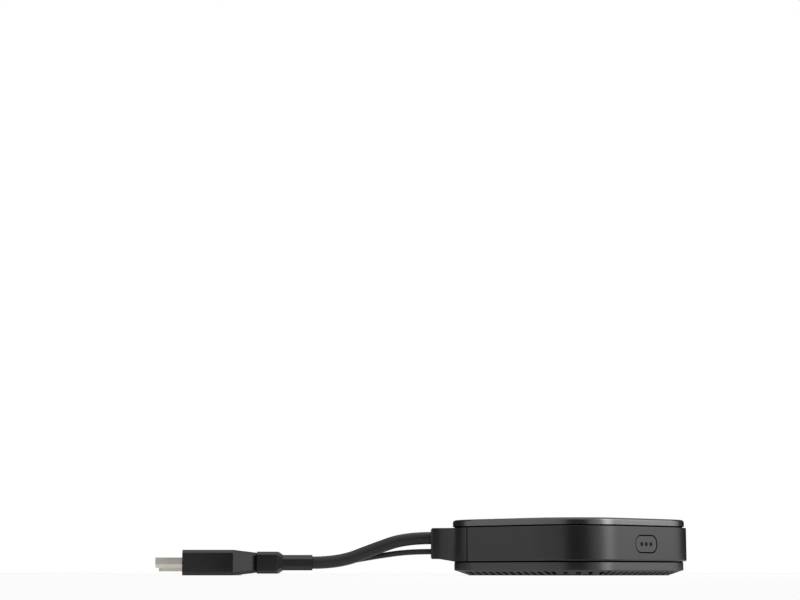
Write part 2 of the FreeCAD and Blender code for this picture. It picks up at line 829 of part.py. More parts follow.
def lead(label, radius, height):
    """The stretch of a cord that the housing holds, from the grommet's face to past the clamp."""
    thing = doc.addObject("Part::Cylinder", label)
    bind(thing, "Radius", radius)
    bind(thing, "Height", grommet_face - jacket_end)
    along_x = FreeCAD.Rotation(FreeCAD.Vector(0, 1, 0), 90)
    start = FreeCAD.Vector(-float(grommet_face), 0, float(height))
    thing.Placement = FreeCAD.Placement(start, along_x)
    bind(thing, "Placement.Base.x", -grommet_face)
    bind(thing, "Placement.Base.z", height)
    return add_sub_part(thing, label)


# Top cap: a glossy lid with a round opening, on long bosses that take the housing screws.
def make_top_cap():
    body = new_body("top_cap")
    outline = level_sketch(body, "cap_outline", cap_bottom)
    rounded_square(outline, cap_half, shell_radius(cap_half))
    pad(body, "cap_block", outline, s.cap_height)
    high = float(cap_top)
    upper = edge_names(body.Shape, lambda p: abs(p.z - high) < 1e-6)
    dress(body, "Fillet", "cap_edge", upper, Radius=s.cap_edge_round)
    lip = level_sketch(body, "cap_lip_outline", band_top)
    rounded_square(lip, lip_half, shell_radius(lip_half))
    pad(body, "cap_lip", lip, s.seam_gap)
    inside = level_sketch(body, "cap_inside", band_top)
    rounded_square(inside, lip_inner, shell_radius(lip_inner))
    pocket(body, "cap_hollow", inside, plate_under - band_top, reverse=True)
    opening = level_sketch(body, "ring_opening_outline", cap_top)
    circle(opening, 0, 0, ring_outer + s.fit_gap)
    pocket(body, "ring_opening", opening, s.cap_plate + s.seam_gap)

    bosses = level_sketch(body, "boss_places", s.post_top)
    posts = level_sketch(body, "board_post_places", top_board_top)
    pilots = level_sketch(body, "boss_pilots", s.post_top)
    board_pilots = level_sketch(body, "board_post_pilots", top_board_top)
    for u, v in FOUR_WAYS:
        place = (s.post_place * u, s.post_spread * v)
        board_place = (s.top_board_screw_place * u, s.top_board_screw_place * v)
        circle(bosses, *place, s.post_radius)
        circle(posts, *board_place, s.top_board_post_radius)
        circle(pilots, *place, s.housing_screw_radius + s.thread_gap)
        circle(board_pilots, *board_place, s.board_screw_radius + s.thread_gap)
    pad(body, "screw_bosses", bosses, plate_under - s.post_top)
    pad(body, "board_posts", posts, plate_under - top_board_top)
    pocket(body, "boss_bores", pilots, s.housing_screw_length, reverse=True)
    pocket(body, "board_post_bores", board_pilots, s.board_screw_length, reverse=True)


def turned_profile(body, name, points):
    """A body of revolution about Z from an outline of radius and height."""
    outline = sketch_on(body, f"{name}_outline", "XZ_Plane")
    polygon(outline, points)
    feature = body.newObject("PartDesign::Revolution", name)
    feature.Profile = outline
    feature.ReferenceAxis = (outline, ["V_Axis"])
    feature.Angle = 360
    doc.recompute()
    return feature


def make_light_ring():
    body = new_body("light_ring")
    top = cap_top - s.button_drop
    outer = ring_outer + s.ring_flange
    turned_profile(body, "ring_turn", [(ring_inner, ring_bottom), (outer, ring_bottom), (outer, plate_under),
                                       (ring_outer, plate_under), (ring_outer, top), (ring_inner, top)])


# Round press button: a dished cap with a skirt, a flange that keeps it in, and a peg.
def make_press_button():
    body = new_body("press_button")
    top = cap_top - s.button_drop
    plate = top - s.button_plate
    skirt = s.button_radius - s.button_skirt
    flange = s.button_radius + s.button_flange
    peg = s.peg_radius
    turned_profile(body, "button_turn", [
        (0, peg_bottom), (peg, peg_bottom), (peg, plate), (skirt, plate), (skirt, flange_bottom),
        (flange, flange_bottom), (flange, flange_top), (s.button_radius, flange_top),
        (s.button_radius, top), (s.button_radius - s.button_rim, top),
        (s.button_radius - s.button_rim - s.button_slope, top - s.button_dish),
        (0, top - s.button_dish)])


def make_press_switch():
    side = s.switch_side
    block = box("press_switch_block", (side, side, s.switch_height),
                (centred(side), centred(side), top_board_top))
    bore = cylinder("press_switch_bore", s.stem_radius + s.fit_gap * 2, s.switch_height,
                    (Length.of(0), Length.of(0), switch_top - s.stem_depth - s.button_travel - s.fit_gap))
    add_sub_part(combined("press_switch", "Cut", block, bore), "press_switch")
    stem = cylinder("press_switch_stem", s.stem_radius, stem_top - switch_top + s.stem_depth,
                    (Length.of(0), Length.of(0), switch_top - s.stem_depth))
    add_sub_part(stem, "press_switch_stem")


# Mode button: a rounded key in the band's window, held by a flange behind it.
def make_mode_button():
    body = new_body("mode_button")
    back = band_inner - s.fit_gap
    key = side_sketch(body, "mode_key_outline", back)
    mode_outline(key, 0)
    pad(body, "mode_key", key, band_half - back - s.fit_gap)
    high = float(band_half - s.fit_gap)
    front = edge_names(body.Shape, lambda p: abs((p.x - p.y) * HALF_ROOT - high) < 1e-6)
    dress(body, "Fillet", "mode_key_edge", front, Radius=s.mode_edge_round)
    flange = side_sketch(body, "mode_flange_outline", back)
    mode_outline(flange, s.mode_flange)
    pad(body, "mode_flange_plate", flange, s.mode_flange_depth, reverse=True)


mode_back = band_inner - s.fit_gap - s.mode_flange_depth
mode_switch_front = mode_back - s.mode_stem_out
mode_switch_back = mode_switch_front - s.switch_height
mode_board_back = mode_switch_back - s.mode_board_thickness


def make_mode_switch():
    body = new_body("mode_switch")
    block = side_sketch(body, "mode_switch_outline", mode_switch_back)
    half = s.switch_side / 2
    rectangle(block, s.mode_shift - half, s.mode_shift + half, s.mode_centre - half, s.mode_centre + half)
    pad(body, "mode_switch_block", block, s.switch_height)
    bore = side_sketch(body, "mode_switch_bore_outline", mode_switch_front)
    circle(bore, s.mode_shift, s.mode_centre, s.stem_radius + s.fit_gap * 2)
    pocket(body, "mode_switch_bore", bore, s.stem_depth + s.mode_travel + s.fit_gap)


def make_mode_switch_stem():
    body = new_body("mode_switch_stem")
    end = side_sketch(body, "mode_stem_outline", mode_switch_front - s.stem_depth)
    circle(end, s.mode_shift, s.mode_centre, s.stem_radius)
    pad(body, "mode_stem", end, s.stem_depth + s.mode_stem_out)


def make_mode_board():
    body = new_body("mode_board")
    plate = side_sketch(body, "mode_board_outline", mode_board_back)
    wide = s.mode_board_width / 2
    rectangle(plate, s.mode_shift - wide, s.mode_shift + wide, cover_floor_top,
              cover_floor_top + s.mode_board_height)
    pad(body, "mode_board_plate", plate, s.mode_board_thickness)


# Main board and upper board, each a rounded square with clearance holes for its screws.
def make_board(label, half, corner, bottom, thickness, screw_place):
    body = new_body(label)
    outline = level_sketch(body, f"{label}_outline", bottom)
    rounded_square(outline, half, corner)
    pad(body, f"{label}_plate", outline, thickness)
    holes = level_sketch(body, f"{label}_hole_outlines", bottom)
    for u, v in FOUR_WAYS:
        circle(holes, screw_place * u, screw_place * v, s.board_screw_radius + s.fit_gap)
    pocket(body, f"{label}_holes", holes, thickness, reverse=True)


def block(label, half_u, half_v, height, place):
    """A board part: a box centred over a place in the square's axes."""
    u, v, z = place
    thing = box(label, (half_u * 2, half_v * 2, height), (u - half_u, v - half_v, z))
    return thing


def group(label, things):
    """Several alike pieces in one node, each a solid of its own."""
    add_sub_part(combined(label, "Compound", *things), label)


def screw(name, place, seat, head_radius, head_height, shank_radius, length, up):
    """A screw whose head bears on a seat; it points up or down from there."""
    u, v = place
    head_at, shank_at = (seat - head_height, seat) if up else (seat, seat - length)
    head = cylinder(f"{name}_head", head_radius, head_height, (u, v, head_at))
    shank = cylinder(f"{name}_shank", shank_radius, length, (u, v, shank_at))
    return combined(name, "MultiFuse", head, shank)


def make_screws():
    housing, main, upper = [], [], []
    for number, (u, v) in enumerate(FOUR_WAYS):
        housing.append(screw(f"housing_screw_{number}", (s.post_place * u, s.post_spread * v),
                             cover_bottom + s.housing_head_height + s.fit_gap, s.housing_head_radius,
                             s.housing_head_height, s.housing_screw_radius, s.housing_screw_length, True))
        place = (s.board_screw_place * u, s.board_screw_place * v)
        main.append(screw(f"main_screw_{number}", place, board_top, s.board_head_radius,
                          s.board_head_height, s.board_screw_radius, s.board_screw_length, False))
        place = (s.top_board_screw_place * u, s.top_board_screw_place * v)
        upper.append(screw(f"upper_screw_{number}", place, top_board_bottom, s.board_head_radius,
                           s.board_head_height, s.board_screw_radius, s.board_screw_length, True))
    group("housing_screws", housing)
    group("main_board_screws", main)
    group("button_board_screws", upper)


def make_ring_leds():
    lamps = []
    for number in range(LEDS):
        angle = math.radians((number + 0.5) * 360 / LEDS)
        u = s.led_ring_radius * math.cos(angle)
        v = s.led_ring_radius * math.sin(angle)
        half = s.led_side / 2
        lamps.append(block(f"ring_led_{number}", half, half, s.led_height, (u, v, top_board_top)))
    group("ring_leds", lamps)


# The processor lies off the middle, with a soft pad and a finned spreader on it.
processor_place = (-s.processor_shift, -s.processor_shift)
thermal_pad_bottom = board_top + s.processor_height
spreader_bottom = thermal_pad_bottom + s.thermal_pad_height


def make_processor():
    half = s.processor_side / 2
    chip = block("processor", half, half, s.processor_height, (*processor_place, board_top))
    add_sub_part(chip, "processor")


def make_thermal_pad():
    half = s.processor_side / 2 - s.thermal_pad_margin
    soft = block("thermal_pad", half, half, s.thermal_pad_height, (*processor_place, thermal_pad_bottom))
    add_sub_part(soft, "thermal_pad")


def make_heat_spreader():
    half = s.spreader_side / 2
    u, v = processor_place
    plate = block("spreader_plate", half, half, s.spreader_height, (u, v, spreader_bottom))
    fins = []
    for number in range(FINS):
        row = v - half + s.spreader_side * (number + 0.5) / FINS
        fins.append(block(f"spreader_fin_{number}", half, s.fin_thickness / 2, s.fin_height,
                          (u, row, spreader_bottom + s.spreader_height)))
    add_sub_part(combined("heat_spreader", "MultiFuse", plate, *fins), "heat_spreader")


def make_memory_chips():
    u, v = processor_place
    chips = []
    for name, sign in (("near", -1), ("far", 1)):
        chips.append(block(f"memory_chip_{name}", s.chip_long / 2, s.chip_wide / 2, s.chip_height,
                           (u + s.chip_shift * sign, v - s.processor_side, board_top)))
    group("memory_chips", chips)


def make_wireless_module():
    half_width, half_length = s.module_width / 2, s.module_length / 2
    base = block("wireless_module", half_width, half_length, s.module_board,
                 (s.module_place, Length.of(0), board_top))
    add_sub_part(base, "wireless_module")
    shield = block("module_shield", half_width - s.shield_side_margin, half_length - s.shield_end_margin,
                   s.shield_height, (s.module_place, Length.of(0), board_top + s.module_board))
    add_sub_part(shield, "module_shield")


def make_power_parts():
    half = s.inductor_side / 2
    coils = []
    for number in range(INDUCTORS):
        u = s.inductor_pitch * (number - (INDUCTORS - 1) / 2) - s.inductor_shift
        coils.append(block(f"inductor_{number}", half, half, s.inductor_height,
                           (u, s.power_part_row, board_top)))
    group("inductors", coils)
    cans = []
    for number in range(CAPACITORS):
        u = s.capacitor_pitch * (number - (CAPACITORS - 1) / 2) + s.capacitor_shift
        cans.append(cylinder(f"capacitor_{number}", s.capacitor_radius, s.capacitor_height,
                             (u, s.power_part_row, board_top)))
    group("capacitors", cans)


# A flat ribbon joins the two boards between a socket on each.
def make_ribbon():
    half_long, half_wide = s.socket_long / 2, s.socket_wide / 2
    low = board_top + s.socket_height
    high = top_board_bottom - s.socket_height
    sockets = [block(name, half_long, half_wide, s.socket_height, (-s.ribbon_shift, s.ribbon_row, height))
               for name, height in (("lower_ribbon_socket", board_top), ("upper_ribbon_socket", high))]
    group("ribbon_sockets", sockets)
    ribbon = block("ribbon_cable", s.ribbon_width / 2, s.ribbon_thickness / 2, high - low,
                   (-s.ribbon_shift, s.ribbon_row, low))
    add_sub_part(ribbon, "ribbon_cable")


def make_lead_headers():
    headers = []
    for name, y, wide in (("video_header", s.video_header_y, s.video_header_width),
                          ("power_header", s.power_header_y, s.power_header_width)):
        headers.append(box(name, (s.header_depth, wide, s.header_height),
                           (-header_reach, y, board_top), turned=False))
    group("lead_headers", headers)


# Aerials: two thin boards on the inner walls that face away from the mode button.
def make_aerials():
    along, thin, tall = s.aerial_length, s.aerial_thickness, s.aerial_height
    first = box("aerial_right", (thin, along, tall), (band_inner - thin, centred(along), s.aerial_bottom))
    second = box("aerial_back", (along, thin, tall), (centred(along), band_inner - thin, s.aerial_bottom))
    group("aerials", [first, second])


def octagon(drawing, width, height, centre_y, centre_z, bevel):
    """A rectangle with its four corners cut off, upright and square to the cords."""
    y, z = width / 2, height / 2
    ring = ((-y, bevel - z), (bevel - y, -z), (y - bevel, -z), (y, bevel - z),
            (y, z - bevel), (y - bevel, z), (bevel - y, z), (-y, z - bevel))
    polygon(drawing, [(centre_y + a, centre_z + b) for a, b in ring])


def stepped_block(label, centre, sections):
    """A bevelled block that changes section along X: each section is x, width, height, bevel."""
    body = new_body(label)
    drawings = []
    for number, (x, width, height, bevel) in enumerate(sections):
        drawing = cross_sketch(body, f"{label}_section_{number}", x)
        octagon(drawing, width, height, *centre, bevel)
        drawings.append(drawing)
    doc.recompute()
    for number, (first, second) in enumerate(zip(drawings, drawings[1:])):
        loft = body.newObject("PartDesign::AdditiveLoft", f"{label}_length_{number}")
        loft.Profile = first
        loft.Sections = [second]
        loft.Ruled = True
        doc.recompute()
    return body


video_level = s.video_body_height / 2
power_level = s.power_body_height / 2
video_sleeve_end = video_cord_end + s.video_sleeve_length
video_collar_start = video_sleeve_end + s.video_collar_taper
video_collar_end = video_collar_start + s.video_collar_length
video_taper_start = video_collar_end + s.video_neck_length
video_body_start = video_taper_start + s.video_taper_length
video_front = video_body_start + s.video_body_length
power_body_start = power_cord_end + s.power_relief_length
power_front = power_body_start + s.power_body_length


# Video plug: a stepped strain relief, a narrow neck, a tapered body and a keyed metal shell.
def make_video_strain_relief():
    centre = (Length.of(0), video_level)
    narrow = s.video_sleeve_radius * 2
    small = (narrow, narrow, s.video_sleeve_bevel)
    large = (s.video_collar_width, s.video_collar_height, s.video_bevel)
    body = stepped_block("video_strain_relief", centre, [
        (-video_cord_end, *small), (-video_sleeve_end, *small),
        (-video_collar_start, *large), (-video_collar_end, *large)])
    neck = cross_sketch(body, "video_neck_outline", -video_collar_end)
    octagon(neck, s.video_neck_width, narrow, *centre, s.video_bevel)
    pad(body, "video_neck", neck, s.video_neck_length, reverse=True)


def make_video_plug_body():
    taper = (s.video_taper_width, s.video_taper_height, s.video_bevel)
    full = (s.video_body_width, s.video_body_height, s.video_bevel)
    stepped_block("video_plug_body", (Length.of(0), video_level), [
        (-video_taper_start, *taper), (-video_body_start, *full), (-video_front, *full)])


def make_video_plug_shell():
    body = new_body("video_plug_shell")
    section = cross_sketch(body, "video_shell_outline", -video_front)
    for wall in (Length.of(0), s.video_shell_wall):
        video_outline(section, wall)
    pad(body, "video_shell_tube", section, s.video_shell_length, reverse=True)


def make_video_contact_block():
    body = new_body("video_contact_block")
    root = cross_sketch(body, "video_insert_outline", -video_front)
    video_outline(root, s.video_shell_wall)
    pad(body, "video_insert", root, s.video_insert_root, reverse=True)
    rail = cross_sketch(body, "video_rail_outline", -video_front)
    half = s.video_shell_width / 2 - s.video_shell_wall
    high = video_level + s.video_shell_height / 2 - s.video_shell_wall
    rectangle(rail, -half, half, high - s.video_rail, high)
    pad(body, "video_insert_rail", rail, s.video_shell_length - s.video_rail_back, reverse=True)


def video_outline(drawing, wall):
    """The plug's rectangle with its two lower corners cut, drawn in by a wall."""
    half = s.video_shell_width / 2 - wall
    low = video_level - s.video_shell_height / 2 + wall
    high = video_level + s.video_shell_height / 2 - wall
    cut = s.video_shell_corner - wall * (2 - 2 * HALF_ROOT)
    polygon(drawing, [(-half, low + cut), (cut - half, low), (half - cut, low), (half, low + cut),
                      (half, high), (-half, high)])


# Power plug: a short relief, a plain bevelled body, a flat metal shell and the tongue in it.
def make_power_strain_relief():
    tip = s.power_relief_tip
    stepped_block("power_strain_relief", (s.power_offset, power_level), [
        (-power_cord_end, tip, tip, s.power_tip_bevel),
        (-power_body_start, s.power_relief_width, s.power_relief_height, s.power_bevel)])


def make_power_plug_body():
    full = (s.power_body_width, s.power_body_height, s.power_bevel)
    stepped_block("power_plug_body", (s.power_offset, power_level),
                  [(-power_body_start, *full), (-power_front, *full)])


def make_power_plug_shell():
    body = new_body("power_plug_shell")
    section = cross_sketch(body, "power_shell_outline", -power_front)
    for wall in (Length.of(0), s.power_shell_wall):
        half, tall = s.power_shell_width / 2 - wall, s.power_shell_height / 2 - wall
        rectangle(section, s.power_offset - half, s.power_offset + half,
                  power_level - tall, power_level + tall)
    pad(body, "power_shell_tube", section, s.power_shell_length, reverse=True)
    windows = sketch_on(body, "power_window_outlines",
                        base=(0, 0, power_level + s.power_shell_height / 2))
    x = -power_front - s.power_shell_length / 2
    half = s.power_window / 2
    for side in (-1, 1):
        y = s.power_offset + s.power_window_place * side
        rectangle(windows, x - half, x + half, y - half, y + half)
    pocket(body, "power_windows", windows, s.power_shell_wall + s.fit_gap)


def make_power_tongue():
    body = new_body("power_tongue")
    section = cross_sketch(body, "power_tongue_outline", -power_front)
    half = s.power_shell_width / 2 - s.power_shell_wall
    floor = power_level - s.power_shell_height / 2 + s.power_shell_wall
    rectangle(section, s.power_offset - half, s.power_offset + half, floor, floor + s.power_tongue_height)
    pad(body, "power_tongue_block", section, s.power_shell_length - s.running_gap, reverse=True)


def runs_and_arcs(points):
    """A wire through straight runs joined by tangent arcs as large as their runs allow."""
    points = [FreeCAD.Vector(*[float(value) for value in point]) for point in points]
    edges, start, radii = [], points[0], []
    for before, corner, after in zip(points, points[1:], points[2:]):
        back, ahead = (before - corner), (after - corner)
        shorter = min(back.Length, ahead.Length)
        back.normalize()
        ahead.normalize()
        half_turn = (math.pi - back.getAngle(ahead)) / 2
        reach = 0.45 * shorter
        radius = reach / math.tan(half_turn)
        inward = back + ahead
        inward.normalize()
        middle = corner + inward * (radius / math.cos(half_turn) - radius)
        enter, leave = corner + back * reach, corner + ahead * reach
        edges.append(Part.LineSegment(start, enter).toShape())
        edges.append(Part.Arc(enter, middle, leave).toShape())
        radii.append(radius)
        start = leave
    edges.append(Part.LineSegment(start, points[-1]).toShape())
    return Part.Wire(edges), radii


def tube(label, points, radius):
    """A cord's solid along its route, whose volume is compared with section times length."""
    path, radii = runs_and_arcs(points)
    first = path.Edges[0]
    ring = Part.Circle(first.valueAt(first.FirstParameter), first.tangentAt(first.FirstParameter),
                       float(radius))
    solid = path.makePipeShell([Part.Wire([ring.toShape()])], True, False)
    thing = doc.addObject("Part::Feature", label)
    thing.Shape = solid
    expected = math.pi * float(radius) ** 2 * path.Length
    print(f"{label}: {path.Length:.1f} mm long, radii {[round(r, 1) for r in radii]},"
          f" volume {solid.Volume / expected:.4f} of section times length")
    return add_sub_part(thing, label)


# Routes of the cords, from the grommet's face to the plugs, which lie on the floor.
def make_cords():
    def out(distance):
        """The place along X at a distance beyond the grommet."""
        return -grommet_face - distance

    tube("video_cord", [
        (out(0), 0, s.video_cord_height), (out(11.8), 0, s.video_cord_height), (out(25.8), 0.5, 11.3),
        (out(40.8), 0, video_level), (-video_cord_end, 0, video_level)], s.video_cord_radius)
    tube("power_cord", [
        (out(0), 0, s.power_cord_height), (out(9.8), 0, s.power_cord_height), (out(22.8), 3.6, 8.6),
        (out(36.8), 9.8, 6.2), (out(49.8), 16.2, 4.4), (out(61.8), 20.4, 3.7),
        (out(68.8), s.power_offset, power_level),
        (-power_cord_end, s.power_offset, power_level)], s.power_cord_radius)


# Inside the puck each cord's wires come straight out of the jacket and drop to a header.
def make_inner_wires():
    socket = board_top + s.header_height / 2
    for label, radius, low, y in (
            ("video_inner_wires", s.video_wire_radius,
             s.video_cord_height - s.video_cord_radius + s.video_wire_radius,
             s.video_header_y + s.video_header_width / 2),
            ("power_inner_wires", s.power_wire_radius, s.power_cord_height,
             s.power_header_y + s.power_header_width / 2)):
        tube(label, [
            (-jacket_end, 0, low), (s.wire_straight - jacket_end, 0, low),
            (-header_reach - s.wire_straight, y, socket), (-header_reach, y, socket)], radius)


make_bottom_cover()
make_base_foot()
make_side_band()
make_cable_end_cap()
make_cord_grommet()
make_cord_clamp()
lead("video_lead", s.video_cord_radius, s.video_cord_height)
lead("power_lead", s.power_cord_radius, s.power_cord_height)
make_top_cap()
make_light_ring()
make_press_button()
make_press_switch()
make_mode_button()
make_mode_switch()
make_mode_switch_stem()
make_mode_board()
make_board("main_board", s.main_board_half, s.main_board_corner, board_bottom, s.board_thickness,
           s.board_screw_place)
make_board("button_board", s.top_board_half, s.top_board_corner, top_board_bottom,
           s.top_board_thickness, s.top_board_screw_place)
make_ring_leds()
make_processor()
make_thermal_pad()
make_heat_spreader()
make_memory_chips()
make_wireless_module()
make_power_parts()
make_ribbon()
make_lead_headers()
make_aerials()
make_screws()
make_video_strain_relief()
make_video_plug_body()
make_video_plug_shell()
make_video_contact_block()
make_power_strain_relief()
make_power_plug_body()
make_power_plug_shell()
make_power_tongue()
make_cords()
make_inner_wires()
doc.recompute()

for thing in doc.Objects:
    if "Invalid" in thing.State or "Error" in thing.State:
        raise RuntimeError(f"{thing.Label} has failed: {thing.State}")
for thing in sub_parts:
    if thing.Shape.isNull() or not thing.Shape.isValid():
        raise RuntimeError(f"{thing.Label} has no valid shape")
os.makedirs("parts", exist_ok=True)
for thing in sub_parts:
    thing.Shape.exportStep(f"parts/{thing.Label}.step")
print(f"{len(sub_parts)} sub-parts written")
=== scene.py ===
"""Wireless presentation dongle: finishes, cords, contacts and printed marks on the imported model.

Lengths are in metres unless a name ends in mm. The puck stands on the floor at z = 0, its cords
leave towards -X, and the mode key sits in the wall that looks between +X and -Y.
"""

import json
import logging
import math
from dataclasses import dataclass
from enum import Enum

import bmesh
import bpy
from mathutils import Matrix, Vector


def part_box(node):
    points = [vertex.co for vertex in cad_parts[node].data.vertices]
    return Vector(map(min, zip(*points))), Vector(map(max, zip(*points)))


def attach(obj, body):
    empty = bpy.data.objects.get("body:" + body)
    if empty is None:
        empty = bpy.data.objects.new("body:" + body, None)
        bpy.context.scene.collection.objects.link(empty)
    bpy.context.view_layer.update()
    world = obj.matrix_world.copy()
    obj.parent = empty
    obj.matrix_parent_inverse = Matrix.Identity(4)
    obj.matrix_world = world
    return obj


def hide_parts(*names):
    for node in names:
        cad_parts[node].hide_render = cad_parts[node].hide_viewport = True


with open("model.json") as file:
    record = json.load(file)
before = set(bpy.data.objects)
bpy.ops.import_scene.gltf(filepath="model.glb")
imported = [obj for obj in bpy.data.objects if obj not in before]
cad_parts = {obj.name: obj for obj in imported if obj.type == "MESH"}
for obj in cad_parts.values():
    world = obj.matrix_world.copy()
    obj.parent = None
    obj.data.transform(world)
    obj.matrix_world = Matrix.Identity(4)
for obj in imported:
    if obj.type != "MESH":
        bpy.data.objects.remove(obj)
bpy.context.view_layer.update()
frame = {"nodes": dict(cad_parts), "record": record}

MM = 0.001
WHITE = "#ffffff"
# Which way the mode key looks.
KEY_OUT = Vector((1.0, -1.0, 0.0)).normalized()
UP = Vector((0.0, 0.0, 1.0))
# Faces that meet at less than this angle are shaded as one.
SMOOTH_ANGLE = math.radians(35.0)
# Rays that look for corners and for edges at each point of a surface.
CREVICE_RAYS = 8
EDGE_RAYS = 4
# Octaves of noise in the faint patches and in the small relief.
PATCH_DETAIL = 4.0
GRAIN_DETAIL = 2.0
# A corner takes the full painted shade below the first share of open sky and none above the second.
CREVICE_SHARES = (0.35, 0.65)
# A face counts as level from the first upright part of its normal, and fully so at the second.
LEVEL_PARTS = (0.5, 0.9)
# A rounded edge takes full painted shade below the first cosine of its turn from the face, and none above
# the second.
FLANK_COSINES = (0.9, 0.985)

log = logging.getLogger("dongle")


class Body(Enum):
    """The bodies that the pieces made here ride on."""

    ROOT = "root"
    MODE_BUTTON = "mode_button_body"


class Grain(Enum):
    """How the small relief runs: its scale along X, Y and Z, where less is drawn out further."""

    EVEN = (1.0, 1.0, 1.0)
    ALONG_X = (0.06, 1.0, 1.0)
    LEVEL = (1.0, 1.0, 8.0)


def linear(code: str) -> tuple[float, float, float, float]:
    """Turns an sRGB hex colour to linear.

    Args:
        code: Six hex digits after a number sign.

    Returns:
        Red, green, blue and an alpha of 1.
    """
    shares = [int(code[i:i + 2], 16) / 255 for i in (1, 3, 5)]
    red, green, blue = (c / 12.92 if c <= 0.04045 else ((c + 0.055) / 1.055) ** 2.4 for c in shares)
    return red, green, blue, 1.0


def add_node(tree: bpy.types.NodeTree, kind: str, inputs: dict[str | int, object] | None = None,
             **settings: object) -> bpy.types.Node:
    """Adds a shader node with its settings and links.

    Args:
        tree: The node tree that it goes into.
        kind: Its type without the common prefix.
        inputs: A value or another node's output for each socket, by name or number.
        **settings: Properties of the node itself.

    Returns:
        The new node.
    """
    node = tree.nodes.new(f"ShaderNode{kind}")
    for name, value in settings.items():
        setattr(node, name, value)
    for key, value in (inputs or {}).items():
        if isinstance(value, bpy.types.NodeSocket):
            tree.links.new(value, node.inputs[key])
        else:
            node.inputs[key].default_value = value
    return node


